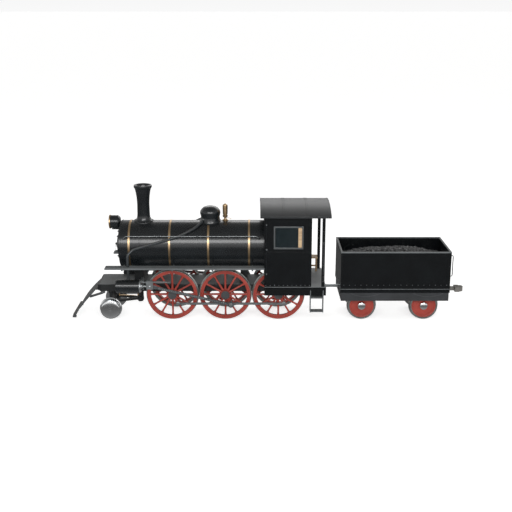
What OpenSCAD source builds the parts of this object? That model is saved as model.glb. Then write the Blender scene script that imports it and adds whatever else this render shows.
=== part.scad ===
// Steam locomotive of the 2-6-0 type for 1067 mm gauge, with its own four-wheeled coal tender.
// Millimetres. +Z is up, the engine's front points to -X, its left side to -Y.
// The origin is under the middle of the whole machine, level with the lowest points of the wheel flanges.

/* [Track and wheels] */
// Distance between the inner faces of the two rails
gauge = 1067; // [1000:1:1435]
// Gap between a rail and the back of the tyre beside it
tyre_back_gap = 38.5; // [33.5:0.5:43.5]
// Depth of a wheel flange below the tread
flange_depth = 27; // [20:1:32]
// Width of a tyre across its tread
tyre_width = 130; // [110:1:150]
// Width of the flange at the back of a tyre
flange_width = 30; // [24:1:36]
// Thickness of a driver's tyre
driver_tyre_thickness = 48; // [35:1:60]
// Tread radius of the driving wheels
driver_radius = 700; // [560:1:760]
// Distance between neighbouring driving axles
driver_spacing = 1457; // [1350:1:1700]
// Place of the middle driving axle
middle_driver_x = -1204; // [-1400:1:-1000]
// Number of spokes in a driving wheel
spoke_count = 12; // [8:1:16]
// Width of a spoke
spoke_width = 40; // [25:1:60]
// Radius of a driving wheel's hub cap
hub_radius = 125; // [90:1:150]
// Distance of the crankpins from the axle
crank_throw = 275; // [200:1:300]
// Angle of the left crankpins from straight back
crank_angle = -56; // [-180:1:180]
// Lead of the right crankpins over the left ones
quartering = 90; // [80:1:100]
// Radius of a crankpin
crankpin_radius = 38; // [30:1:50]
// Tread radius of the small leading wheels
pony_radius = 280; // [230:1:320]
// Place of the leading axle
pony_x = -4385; // [-4500:1:-4330]
// Thickness of a tender wheel's tyre
tender_tyre_thickness = 46; // [35:1:55]
// Tread radius of the tender wheels
tender_radius = 380; // [300:1:420]
// Distance of the tender's front axle from its front end
tender_front_overhang = 617; // [560:1:760]
// Distance of the tender's rear axle from its rear end
tender_rear_overhang = 650; // [560:1:800]
// Radius of the driving axles
axle_radius = 80; // [60:1:95]
// Radius of the leading and tender axles
small_axle_radius = 62; // [50:1:75]

/* [Rods and cylinders] */
// Height of the cylinder axis over the rail
cylinder_height = 1000; // [940:1:1060]
// Gap between the side rods' pin caps and the main rod
main_rod_gap = 42; // [36:1:60]
// Radius of a cylinder over its cladding
cylinder_radius = 190; // [150:1:215]
// Length of a cylinder over its covers
cylinder_length = 660; // [560:1:700]
// Place of the front face of the cylinders
cylinder_front_x = -4165; // [-4220:1:-4120]
// Place of the pin in the crosshead
crosshead_x = -3255; // [-3270:1:-3240]
// Height of a main rod's blade
main_rod_height = 74; // [50:1:90]
// Height of a side rod's blade
side_rod_height = 62; // [45:1:90]
// Thickness of every rod from side to side
rod_thickness = 40; // [30:1:44]
// Radius of the piston rods
piston_rod_radius = 28; // [20:1:36]

/* [Frame] */
// Gap between the frame's side plates and the backs of the wheels
frame_wheel_gap = 15; // [11:1:55]
// Height of the frame's top over the rail
frame_top = 960; // [920:1:1000]
// Height of the frame's side plates
frame_height = 200; // [160:1:240]
// Place of the frame's front end
frame_front_x = -4725; // [-4760:1:-4700]
// Place of the frame's rear end
frame_rear_x = 1537; // [1500:1:1600]
// Thickness of the frame's side plates
frame_plate = 40; // [25:1:45]

/* [Boiler] */
// Radius of the boiler over its cladding
boiler_radius = 660; // [600:1:700]
// Height of the boiler axis over the rail
boiler_height = 1995; // [1960:1:2060]
// Place of the smokebox's front face
smokebox_front_x = -4065; // [-4100:1:-4040]
// Place where smokebox and boiler barrel meet
smokebox_rear_x = -3500; // [-3560:1:-3460]
// Place of the boiler's rear end inside the cab
boiler_rear_x = 415; // [350:1:500]
// Radius of the smokebox door
door_radius = 400; // [330:1:412]
// How far the smokebox door bulges forward
door_bulge = 78; // [50:1:95]
// Place of the chimney
chimney_x = -3455; // [-3480:1:-3430]
// Height of the chimney's top over the rail
chimney_top = 3655; // [3400:1:3800]
// Outer radius of the chimney at its neck
chimney_neck_radius = 168; // [140:1:185]
// Outer radius of the chimney's rim
chimney_rim_radius = 247; // [220:1:280]
// Radius of the hole down the chimney
chimney_bore_radius = 120; // [90:1:130]
// Place of the steam dome
dome_x = -1620; // [-1700:1:-1560]
// Radius of the steam dome
dome_radius = 280; // [230:1:300]
// Height of the dome's top over the rail
dome_top = 3070; // [2960:1:3200]
// Place of the whistle
whistle_x = -1210; // [-1240:1:-1150]
// Radius of the headlamp
lamp_radius = 192; // [150:1:200]
// Length of the headlamp
lamp_length = 300; // [240:1:330]
// Width of a boiler band
band_width = 55; // [35:1:70]
// Thickness of a boiler band
band_thickness = 8; // [5:1:12]
// Radius of the outside steam pipes
pipe_radius = 35; // [25:1:45]

/* [Running boards] */
// Distance of a running board's inner edge from the middle
board_inner_y = 680; // [664:1:700]
// Distance of a running board's outer edge from the middle
board_outer_y = 950; // [900:1:1000]
// Height of the running boards' top over the rail
board_top = 1552; // [1530:1:1580]
// Thickness of a running board
board_thickness = 45; // [25:1:50]
// Place of the running boards' front end
board_front_x = -4446; // [-4500:1:-4380]

/* [Cab] */
// Place of the cab's front sheet
cab_front_x = -135; // [-170:1:-110]
// Distance of a cab side from the middle, outside
cab_half_width = 920; // [900:1:960]
// Thickness of the cab's sides
cab_wall = 36; // [20:1:45]
// Height of the cab floor over the rail
cab_floor_height = 1010; // [990:1:1040]
// Place of the rear edge of the cab's side sheet
cab_side_rear_x = 1124; // [1050:1:1180]
// Place of the front edge of the cab's rear posts
cab_post_x = 1406; // [1360:1:1420]
// Length of a cab post
cab_post_length = 85; // [60:1:100]
// Height of the roof's ridge over the rail
roof_ridge = 3222; // [3150:1:3300]
// Rise of the roof from its eaves to its ridge
roof_rise = 200; // [160:1:260]
// Half of the roof's width
roof_half_width = 1085; // [1030:1:1150]
// Thickness of the roof
roof_thickness = 40; // [25:1:60]
// Place of the roof's front edge
roof_front_x = -250; // [-300:1:-200]
// Place of the roof's rear edge
roof_rear_x = 1635; // [1560:1:1700]
// Lowest and highest edge of the side windows over the rail
window_z = [2087, 2699];
// Front and rear edge of the side windows
window_x = [119, 900];
// Width of the metal frame round a side window
window_frame = 34; // [20:1:50]

/* [Tender] */
// Place of the tender's front end
tender_front_x = 1935; // [1900:1:2000]
// Length of the tender's body
tender_length = 2980; // [2700:1:3100]
// Half of the tender's width
tender_half_width = 820; // [760:1:900]
// Height of the tender body's top edge over the rail
tender_top = 1970; // [1800:1:2200]
// Height of the tender body's bottom over the rail
tender_body_bottom = 923; // [900:1:960]
// Height of the tender platform's underside over the rail
tender_platform_bottom = 817; // [800:1:840]
// Height of the skirt's lower edge over the rail
skirt_bottom = 587; // [540:1:650]
// Thickness of the tender's walls
tender_wall = 40; // [25:1:60]
// Thickness of the skirt
skirt_wall = 28; // [20:1:36]
// Height of the top of the coal at the walls over the rail
coal_edge_height = 1800; // [1500:1:1850]
// Height of the rear coupler over the rail
coupler_height = 690; // [660:1:720]
// How far the rear coupler reaches behind the tender
coupler_reach = 540; // [460:1:600]
// Radius of the pin hole in the rear coupler
coupler_pin_radius = 22; // [18:1:26]

/* [Hidden] */
$fn = 64;

// Gap left between curved faces that seat on each other
seat = 0.3;
// Radial clearance of a pin in a rod or an axle in its box
running = 0.1;
// Least clearance between pieces that move past each other
clear = 8;

rail = flange_depth;
wheel_back = gauge / 2 - tyre_back_gap;
wheel_face = wheel_back + tyre_width;
driver_x = [for (i = [-1:1]) middle_driver_x + i * driver_spacing];
driver_z = rail + driver_radius;
pony_z = rail + pony_radius;
tender_z = rail + tender_radius;

frame_z1 = rail + frame_top;
frame_z0 = frame_z1 - frame_height;
frame_half_width = wheel_back - frame_wheel_gap;
frame_inner = frame_half_width - frame_plate;
deck_thickness = 20;
beam_thickness = 40;
beam_overhang = 20;

boiler_z = rail + boiler_height;
boiler_top_z = boiler_z + boiler_radius;
cab_inner = cab_half_width - cab_wall;
floor_z = rail + cab_floor_height;
floor_thickness = 30;

cylinder_z = rail + cylinder_height;
cylinder_rear_x = cylinder_front_x + cylinder_length;

// Planes of the rods, as distances from the middle of the engine
hub_face = wheel_face + 40;
side_rod_y0 = hub_face + 15;
side_rod_y1 = side_rod_y0 + rod_thickness;
pin_cap_y = side_rod_y1 + 13;
main_rod_y0 = pin_cap_y + main_rod_gap;
main_rod_y1 = main_rod_y0 + rod_thickness;
cylinder_y = (main_rod_y0 + main_rod_y1) / 2;

// Crankpin of a side, seen from its axle: side is -1 on the left and 1 on the right
function pin_angle(side) = side < 0 ? crank_angle : crank_angle + quartering;
function pin_dx(side) = crank_throw * cos(pin_angle(side));
function pin_dz(side) = crank_throw * sin(pin_angle(side));

// The connecting rod runs from the crosshead pin to the middle driver's crankpin
function rod_dx(side) = middle_driver_x + pin_dx(side) - crosshead_pin_x(side);
function rod_dz(side) = driver_z + pin_dz(side) - cylinder_z;
rod_length = norm([middle_driver_x + pin_dx(-1) - crosshead_x, driver_z + pin_dz(-1) - cylinder_z]);
function crosshead_pin_x(side) =
    middle_driver_x + pin_dx(side) - sqrt(pow(rod_length, 2) - pow(driver_z + pin_dz(side) - cylinder_z, 2));
function rod_angle(side) = atan2(rod_dz(side), rod_dx(side));

guide_rear_x = -2690;
guide_z0 = cylinder_z + 100;
guide_z1 = guide_z0 + 36;
crosshead_half = 90;
slipper_wall = 14;
guide_half_width = 24;
guide_gap = 1;
main_pin_radius = 34;

window_z0 = rail + window_z[0];
window_z1 = rail + window_z[1];

roof_radius = (pow(roof_half_width, 2) + pow(roof_rise, 2)) / (2 * roof_rise);
roof_z = rail + roof_ridge;
// Height of the roof's underside at a distance y from the middle
function roof_underside(y) = roof_z - roof_radius + sqrt(pow(roof_radius - roof_thickness, 2) - y * y);

tender_rear_x = tender_front_x + tender_length;
tender_axle_xs = [tender_front_x + tender_front_overhang, tender_rear_x - tender_rear_overhang];
tender_mid_x = (tender_front_x + tender_rear_x) / 2;
platform_z0 = rail + tender_platform_bottom;
platform_z1 = rail + tender_body_bottom;
tender_frame_y = wheel_back - 45;
drawbar_z = rail + 775;
drawbar_front_pin_x = 1440;
drawbar_rear_pin_x = 2150;
drawbar_pin_radius = 32;
drawbar_half = 30;
coupler_z = rail + coupler_height;
coupler_end_x = tender_rear_x + coupler_reach;
pilot_tip_x = -5455;

// A block between two corners
module block(a, b) {
    translate(a) cube(b - a);
}

// A round bar along Y between two distances, at a place in the side view
module bar_y(x, z, r, y0, y1) {
    translate([x, y0, z]) rotate([-90, 0, 0]) cylinder(r = r, h = y1 - y0);
}

// A round bar along X
module bar_x(x0, x1, y, z, r) {
    translate([x0, y, z]) rotate([0, 90, 0]) cylinder(r = r, h = x1 - x0, $fn = r > 300 ? 256 : 64);
}

// A round bar along Z
module bar_z(x, y, z0, z1, r) {
    translate([x, y, z0]) cylinder(r = r, h = z1 - z0);
}

// A round bar from one point to another
module bar(a, b, r) {
    d = b - a;
    len = norm(d);
    translate(a) rotate([0, acos(d.z / len), atan2(d.y, d.x)]) cylinder(r = r, h = len);
}

// A round bar through a list of points, with ball corners
module bent_bar(points, r) {
    for (i = [0:len(points) - 2]) bar(points[i], points[i + 1], r);
    for (i = [1:len(points) - 2]) translate(points[i]) sphere(r = r + 3, $fn = 32);
}

// The same piece on both sides
module both_sides() {
    children();
    mirror([0, 1, 0]) children();
}

// The same outline on both sides
module both_sides2d() {
    children();
    mirror([0, 1]) children();
}

// An outline in the side view, given as x and z, made into a plate from y0 to y1
module side_plate(y0, y1) {
    translate([0, y1, 0]) rotate([90, 0, 0]) linear_extrude(y1 - y0) children();
}

// Flange, tread and outer corner of a wheel as pairs of a radius and a distance from the middle
function rolling_contour(tread) = [
    [tread + flange_depth - 8, wheel_back],
    [tread + flange_depth, wheel_back + 9],
    [tread + flange_depth, wheel_back + 15],
    [tread + 6, wheel_back + flange_width - 3],
    [tread, wheel_back + flange_width + 3],
    [tread - 2, wheel_face - 6],
    [tread - 7, wheel_face]
];

// A wheel's tyre on the left side, centred on its own axle: tread outside, flange at the back
module tyre(tread, thickness) {
    rotate([90, 0, 0]) rotate_extrude()
        polygon(concat([[tread - thickness, wheel_back]], rolling_contour(tread),
            [[tread - thickness, wheel_face]]));
}

module tyre_pair(x, z, tread, thickness) {
    translate([x, 0, z]) both_sides() tyre(tread, thickness);
}

// A spoked wheel centre on the left side, centred on its axle, with its crank boss at an angle
module driver_centre(angle) {
    rim_outer = driver_radius - driver_tyre_thickness - seat;
    rim_inner = rim_outer - 56;
    rim_y0 = wheel_back + 12;
    rim_y1 = wheel_face - 12;
    rotate([90, 0, 0]) {
        translate([0, 0, rim_y0]) difference() {
            cylinder(r = rim_outer, h = rim_y1 - rim_y0);
            translate([0, 0, -1]) cylinder(r = rim_inner, h = rim_y1 - rim_y0 + 2);
        }
        for (i = [0:spoke_count - 1]) rotate(i * 360 / spoke_count)
            translate([hub_radius - 20, -spoke_width / 2, rim_y0 + 18])
                cube([rim_inner - hub_radius + 30, spoke_width, rim_y1 - rim_y0 - 36]);
        translate([0, 0, wheel_back]) cylinder(r = hub_radius + 12, h = hub_face - 28 - wheel_back);
        translate([0, 0, wheel_back]) cylinder(r = hub_radius, h = hub_face - wheel_back);
        rotate(angle) translate([crank_throw, 0, rim_y0]) {
            cylinder(r = crankpin_radius + 34, h = hub_face - 12 - rim_y0);
            translate([-crank_throw + hub_radius - 10, -crankpin_radius - 8, 10])
                cube([crank_throw - hub_radius, 2 * crankpin_radius + 16, rim_y1 - rim_y0 - 16]);
            cylinder(r = crankpin_radius, h = pin_cap_y - rim_y0);
            translate([0, 0, side_rod_y1 + 3 - rim_y0])
                cylinder(r = crankpin_radius + 10, h = pin_cap_y - side_rod_y1 - 3);
        }
    }
}

// Both wheel centres of a driving axle with the shaft that is pressed between them
module driver_axle(x) {
    translate([x, 0, driver_z]) {
        driver_centre(pin_angle(-1));
        mirror([0, 1, 0]) driver_centre(pin_angle(1));
        bar_y(0, 0, axle_radius, -wheel_back + seat, wheel_back - seat);
    }
}

// A plain disc wheel centre with a domed hub cap on the left side
module disc_centre(tread, thickness) {
    rim = tread - thickness - seat;
    rotate([90, 0, 0]) rotate_extrude() polygon([
        [0, wheel_back], [rim, wheel_back + 12], [rim, wheel_face - 12], [rim - 30, wheel_face - 12],
        [rim - 50, wheel_face - 34], [tread * 0.34, wheel_face - 26], [tread * 0.31, wheel_face - 4],
        [tread * 0.29, wheel_face + 16], [tread * 0.22, wheel_face + 34], [tread * 0.12, wheel_face + 44],
        [0, wheel_face + 48]
    ]);
}

// A disc wheelset with its axle
module disc_axle(x, z, tread, thickness) {
    translate([x, 0, z]) {
        both_sides() disc_centre(tread, thickness);
        bar_y(0, 0, small_axle_radius, -wheel_back + seat, wheel_back - seat);
    }
}

module driver_wheels_1() { color("firebrick") driver_axle(driver_x[0]); }
module driver_wheels_2() { color("firebrick") driver_axle(driver_x[1]); }
module driver_wheels_3() { color("firebrick") driver_axle(driver_x[2]); }
module driver_tyres_1() {
    color("silver") tyre_pair(driver_x[0], driver_z, driver_radius, driver_tyre_thickness);
}
module driver_tyres_2() {
    color("silver") tyre_pair(driver_x[1], driver_z, driver_radius, driver_tyre_thickness);
}
module driver_tyres_3() {
    color("silver") tyre_pair(driver_x[2], driver_z, driver_radius, driver_tyre_thickness);
}
module tender_wheels_1() {
    color("firebrick") disc_axle(tender_axle_xs[0], tender_z, tender_radius, tender_tyre_thickness);
}
module tender_wheels_2() {
    color("firebrick") disc_axle(tender_axle_xs[1], tender_z, tender_radius, tender_tyre_thickness);
}
module tender_tyres_1() {
    color("silver") tyre_pair(tender_axle_xs[0], tender_z, tender_radius, tender_tyre_thickness);
}
module tender_tyres_2() {
    color("silver") tyre_pair(tender_axle_xs[1], tender_z, tender_radius, tender_tyre_thickness);
}

// Solid cast leading wheels: tread, flange and a domed face in one piece, with the axle
module pony_wheels() {
    color("gainsboro") translate([pony_x, 0, pony_z]) {
        both_sides() rotate([90, 0, 0]) rotate_extrude() polygon(concat(
            [[0, wheel_back]],
            rolling_contour(pony_radius),
            [[pony_radius - 34, wheel_face + 2], [pony_radius - 60, wheel_face + 14],
             [pony_radius * 0.62, wheel_face + 28], [pony_radius * 0.34, wheel_face + 40],
             [0, wheel_face + 46]]
        ));
        bar_y(0, 0, small_axle_radius, -wheel_back + seat, wheel_back - seat);
    }
}

pony_box = 98;
pony_pivot_x = -3620;
pony_pin_radius = 40;
pony_arm_z0 = pony_z + 100;
pony_arm_z1 = pony_arm_z0 + 60;

// Radial truck that carries the leading axle: axle boxes, a triangular arm and its pivot eye
module pony_frame() {
    box_y1 = wheel_back - clear;
    box_y0 = box_y1 - 130;
    color("dimgray") {
        both_sides() difference() {
            union() {
                block([pony_x - pony_box, box_y0, pony_z - pony_box],
                    [pony_x + pony_box, box_y1, pony_arm_z1]);
                bar_z(pony_x, (box_y0 + box_y1) / 2, pony_arm_z1, frame_z0 - 60, 42);
                bar_z(pony_x, (box_y0 + box_y1) / 2, frame_z0 - 60, frame_z0 - 6, 62);
            }
            bar_y(pony_x, pony_z, small_axle_radius + running, box_y0 - 1, box_y1 + 1);
        }
        block([pony_x - 70, -box_y0, pony_arm_z0], [pony_x + 70, box_y0, pony_arm_z1]);
        difference() {
            union() {
                translate([0, 0, pony_arm_z0]) linear_extrude(pony_arm_z1 - pony_arm_z0) {
                    both_sides2d() polygon([
                        [pony_x + 69, 210], [pony_x + 69, 330], [pony_pivot_x, 60], [pony_pivot_x, -20]
                    ]);
                }
                bar_z(pony_pivot_x, 0, pony_arm_z0 - 20, pony_arm_z1 + 20, 95);
            }
            bar_z(pony_pivot_x, 0, pony_arm_z0 - 30, pony_arm_z1 + 30, pony_pin_radius + running);
        }
    }
}

// Opening of an axle box's guide: half its length, and its reach below and above the axle
box_half = 112;
box_below = 150;
box_above = 130;
pedestal_leg = 60;
pedestal_foot = 40;

// Guide that hangs from the frame round one axle box
module axle_pedestal(x) {
    half = box_half + pedestal_leg;
    bottom = driver_z - box_below - pedestal_foot;
    side_plate(frame_inner - 10, frame_half_width) difference() {
        translate([x - half, bottom]) square([2 * half, frame_z0 + 1 - bottom]);
        translate([x - box_half, driver_z - box_below]) square([2 * box_half, frame_height + 200]);
    }
}

stretcher_xs = [-4640, -3700, -3420, -1940, -480, 1100];
pivot_front_x = -3700;
pivot_rear_x = -3380;
// The drag box holds the drawbar between two jaws
drag_half_width = 160;
drag_jaw = 40;
drag_gap = 6;

// Plate frame: two side plates joined by a deck and cross stretchers, with pedestals for the axle boxes
module main_frame() {
    deck_z0 = frame_z1 - deck_thickness;
    plate_x0 = frame_front_x + beam_thickness;
    jaw_x0 = drawbar_front_pin_x - 120;
    jaw_x1 = drawbar_front_pin_x + 80;
    jaw_top = drawbar_z + drawbar_half + drag_gap;
    jaw_bottom = drawbar_z - drawbar_half - drag_gap;
    color("dimgray") {
        both_sides() difference() {
            union() {
                block([plate_x0, frame_inner, frame_z0], [frame_rear_x, frame_half_width, frame_z1]);
                for (x = driver_x) axle_pedestal(x);
            }
            for (x = driver_x)
                block([x - box_half, frame_inner - 20, driver_z - box_below],
                      [x + box_half, frame_half_width + 1, driver_z + box_above]);
        }
        block([plate_x0, -frame_inner, deck_z0], [frame_rear_x, frame_inner, frame_z1]);
        for (x = stretcher_xs)
            block([x, -frame_inner, frame_z0 + 20], [x + frame_plate, frame_inner, deck_z0]);
        // Pivot casting of the leading truck, with its pin
        block([pivot_front_x, -120, frame_z0 + 60], [pivot_rear_x, 120, deck_z0]);
        bar_z(pony_pivot_x, 0, pony_arm_z1 + 40, frame_z0 + 80, 90);
        bar_z(pony_pivot_x, 0, pony_arm_z0 - 40, pony_arm_z1 + 50, pony_pin_radius);
        bar_z(pony_pivot_x, 0, pony_arm_z0 - 56, pony_arm_z0 - 28, 70);
        // Drag box at the rear
        block([jaw_x0, -drag_half_width, jaw_top], [jaw_x1, drag_half_width, deck_z0]);
        block([jaw_x0, -drag_half_width, jaw_bottom - drag_jaw], [jaw_x1, drag_half_width, jaw_bottom]);
        block([jaw_x0 - drag_jaw, -drag_half_width, jaw_bottom - drag_jaw],
            [jaw_x0 + 20, drag_half_width, deck_z0]);
        bar_z(drawbar_front_pin_x, 0, jaw_bottom - 4, jaw_top + 4, drawbar_pin_radius);
        both_sides()
            block([1140, drag_half_width, frame_z0 + 20], [frame_rear_x, frame_inner, frame_z0 + 50]);
    }
}

// Cast axle boxes of the driving axles, held in the pedestals
module axle_boxes() {
    color("gray") for (x = driver_x) both_sides() difference() {
        block([x - box_half + seat, frame_inner - 60, driver_z - box_below + seat],
              [x + box_half - seat, wheel_back - clear, driver_z + box_above - seat]);
        bar_y(x, driver_z, axle_radius + running, frame_inner - 70, wheel_back);
    }
}

// Front beam across the frame's end, with its top level with the deck
module front_beam() {
    color("dimgray")
        block([frame_front_x, -frame_half_width - beam_overhang, frame_z0 + 30],
              [frame_front_x + beam_thickness, frame_half_width + beam_overhang, frame_z1]);
}

pilot_top_x = frame_front_x;
pilot_half_width = 560;
pilot_bottom_z = rail + 70;
pilot_slat = 46;
pilot_slats = 13;
stay_y = (frame_inner + frame_half_width) / 2;
stay_radius = 34;
slat_radius = 2600;
slat_depth = 44;

// Outline of one pilot slat: a shallow arc between the front beam and the bottom bar
module slat_outline() {
    top = [pilot_top_x - 3, frame_z0 + 120];
    bottom = [pilot_tip_x + 55, pilot_bottom_z + 20];
    chord = bottom - top;
    mid = (top + bottom) / 2;
    half = norm(chord) / 2;
    normal = [-chord.y, chord.x] / (2 * half);
    // Deeper than the arc's rise over its chord
    sweep = 120;
    centre = mid + normal * sqrt(slat_radius * slat_radius - half * half);
    difference() {
        intersection() {
            translate(centre) circle(r = slat_radius, $fn = 180);
            polygon([top, bottom, bottom - normal * sweep, top - normal * sweep]);
        }
        translate(centre) circle(r = slat_radius - slat_depth, $fn = 180);
    }
}

// Sloping slatted pilot that sweeps the track, with two stays up to the frame
module pilot() {
    pitch = (2 * pilot_half_width - pilot_slat) / (pilot_slats - 1);
    color("gray") {
        for (i = [0:pilot_slats - 1]) {
            y = -pilot_half_width + i * pitch;
            side_plate(y, y + pilot_slat) slat_outline();
        }
        block([pilot_tip_x + 20, -pilot_half_width, pilot_bottom_z],
              [pilot_tip_x + 90, pilot_half_width, pilot_bottom_z + 55]);
        block([pilot_top_x - 40, -pilot_half_width, frame_z0 + 60],
              [pilot_top_x, pilot_half_width, frame_z0 + 125]);
        both_sides() {
            block([pilot_tip_x, pilot_half_width - 76, rail + 20],
                [pilot_tip_x + 100, pilot_half_width, pilot_bottom_z]);
            block([frame_front_x + 70, frame_inner, frame_z0 - 60],
                [frame_front_x + 190, frame_half_width, frame_z0]);
            bar([frame_front_x + 130, stay_y, frame_z0 - 46],
                [pilot_top_x - 235, stay_y, frame_z0 - 165], stay_radius);
        }
    }
}

// A flanged casting on the frame with a hollow top that fits under the boiler
module boiler_seat(x0, x1, half_width, foot_half_width, foot, flange) {
    difference() {
        union() {
            block([x0 - foot, -foot_half_width, frame_z1], [x1 + foot, foot_half_width, frame_z1 + flange]);
            block([x0, -half_width, frame_z1 + flange - 6],
                [x1, half_width, boiler_z - boiler_radius + 160]);
        }
        bar_x(x0 - 100, x1 + 100, 0, boiler_z, boiler_radius + seat);
    }
}

// Saddle that carries the smokebox over the frame
module smokebox_saddle() {
    color("dimgray") boiler_seat(-3720, -3480, 330, 400, 40, 40);
}

// Bracket under the middle of the boiler, in front of the cab
module boiler_bracket() {
    color("dimgray") boiler_seat(-790, -600, 360, 400, 30, 36);
}

// Cylinders with their covers and the castings that bolt them to the frame
module cylinders() {
    cover = 24;
    color([0.12, 0.13, 0.14]) both_sides() difference() {
        union() {
            bar_x(cylinder_front_x + cover, cylinder_rear_x - cover, cylinder_y, cylinder_z,
                cylinder_radius);
            bar_x(cylinder_front_x, cylinder_rear_x, cylinder_y, cylinder_z, cylinder_radius - 12);
            bar_x(cylinder_front_x - 24, cylinder_front_x + 10, cylinder_y, cylinder_z, 70);
            bar_x(cylinder_rear_x - 10, cylinder_rear_x + 40, cylinder_y, cylinder_z, 62);
            block([cylinder_front_x + 60, frame_half_width, frame_z0 + 20],
                  [cylinder_rear_x - 60, cylinder_y, cylinder_z + 100]);
        }
        bar_x(cylinder_front_x + 60, cylinder_rear_x + 50, cylinder_y, cylinder_z,
            piston_rod_radius + running);
    }
}

// One guide bar over each piston rod, with the bracket that ties it to the frame
module guide_bars() {
    color("silver") both_sides() {
        block([cylinder_rear_x, cylinder_y - guide_half_width, guide_z0],
              [guide_rear_x, cylinder_y + guide_half_width, guide_z1]);
        block([cylinder_rear_x, frame_half_width, guide_z1 + 4],
              [cylinder_rear_x + 52, cylinder_y + 60, guide_z1 + 30]);
        block([cylinder_rear_x, cylinder_y - guide_half_width, guide_z1 - 1],
              [cylinder_rear_x + 50, cylinder_y + guide_half_width, guide_z1 + 5]);
        block([cylinder_rear_x + 10, frame_half_width, frame_z0 + 40],
              [cylinder_rear_x + 52, frame_half_width + 24, guide_z1 + 30]);
    }
}

// Crosshead of one side: a slipper round the guide bar, two cheeks, the pin and the piston rod
module crosshead(side) {
    x = crosshead_pin_x(side);
    cheek0 = main_rod_y1 + 5;
    cheek1 = cheek0 + 22;
    color("darkgray") mirror([0, side < 0 ? 1 : 0, 0]) {
        difference() {
            union() {
                block([x - crosshead_half, 2 * cylinder_y - cheek1, guide_z0 - slipper_wall - guide_gap],
                      [x + crosshead_half, cheek1, guide_z1 + slipper_wall + guide_gap]);
                block([x - crosshead_half, 2 * cylinder_y - cheek1, cylinder_z - 80],
                      [x + crosshead_half, cheek1, guide_z0 - guide_gap - 1]);
            }
            block([x - crosshead_half - 1, cylinder_y - guide_half_width - guide_gap, guide_z0 - guide_gap],
                  [x + crosshead_half + 1, cylinder_y + guide_half_width + guide_gap, guide_z1 + guide_gap]);
            block([x - 68, 2 * cylinder_y - cheek0, cylinder_z - 90],
                  [x + crosshead_half + 1, cheek0, cylinder_z + 78]);
        }
        bar_y(x, cylinder_z, main_pin_radius, 2 * cylinder_y - cheek1, cheek1 + 10);
        bar_x(x - crosshead_half - 600, x - crosshead_half + 10, cylinder_y, cylinder_z, piston_rod_radius);
    }
}
module crosshead_left() { crosshead(-1); }
module crosshead_right() { crosshead(1); }

// Connecting rod of one side, lying along its own slope
module main_rod(side) {
    big = 84;
    color([0.3, 0.31, 0.32]) mirror([0, side < 0 ? 1 : 0, 0])
        translate([crosshead_pin_x(side), main_rod_y0, cylinder_z]) rotate([0, -rod_angle(side), 0]) {
            difference() {
                union() {
                    bar_y(0, 0, 60, 0, rod_thickness);
                    bar_y(rod_length, 0, big, 0, rod_thickness);
                    block([30, 5, -main_rod_height / 2],
                        [rod_length - 40, rod_thickness - 5, main_rod_height / 2]);
                }
                bar_y(0, 0, main_pin_radius + running, -1, rod_thickness + 1);
            }
            bar_y(rod_length, 0, 46, rod_thickness - 1, rod_thickness + 14);
        }
}
module main_rod_left() { main_rod(-1); }
module main_rod_right() { main_rod(1); }

// Side rod that ties the three crankpins of one side together
module side_rod(side) {
    z = driver_z + pin_dz(side);
    color([0.36, 0.37, 0.38]) mirror([0, side < 0 ? 1 : 0, 0]) difference() {
        union() {
            for (x = driver_x) bar_y(x + pin_dx(side), z, crankpin_radius + 26, side_rod_y0, side_rod_y1);
            block([driver_x[0] + pin_dx(side), side_rod_y0 + 4, z - side_rod_height / 2],
                  [driver_x[2] + pin_dx(side), side_rod_y1 - 4, z + side_rod_height / 2]);
        }
        for (x = driver_x) bar_y(x + pin_dx(side), z, crankpin_radius + running, side_rod_y0 - 1,
            side_rod_y1 + 1);
    }
}
module side_rod_left() { side_rod(-1); }
module side_rod_right() { side_rod(1); }

smokebox_ring = 34;
door_hinge_x = smokebox_front_x - smokebox_ring - 46;
door_hinge_y = door_radius + 52;
door_pin_radius = 13;
// Heights of the door's two hinges from the boiler axis
hinge_offsets = [-170, 170];

// Smokebox: the front drum of the boiler, with a ring round its door
module smokebox() {
    color([0.11, 0.12, 0.13]) {
        bar_x(smokebox_front_x, smokebox_rear_x, 0, boiler_z, boiler_radius);
        bar_x(smokebox_front_x - 16, smokebox_front_x + 10, 0, boiler_z, boiler_radius - 14);
        translate([smokebox_front_x - smokebox_ring, 0, boiler_z]) rotate([0, 90, 0])
            cylinder(r = door_radius + 22, h = smokebox_ring);
        // Hinge posts of the door, on the right side
        for (z = hinge_offsets) difference() {
            block([door_hinge_x - 30, door_hinge_y - 26, boiler_z + z - 66],
                  [smokebox_front_x, door_hinge_y + 26, boiler_z + z - 34]);
            bar_z(door_hinge_x, door_hinge_y, boiler_z + z - 80, boiler_z + z + 80,
                door_pin_radius + running);
        }
    }
}

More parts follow.
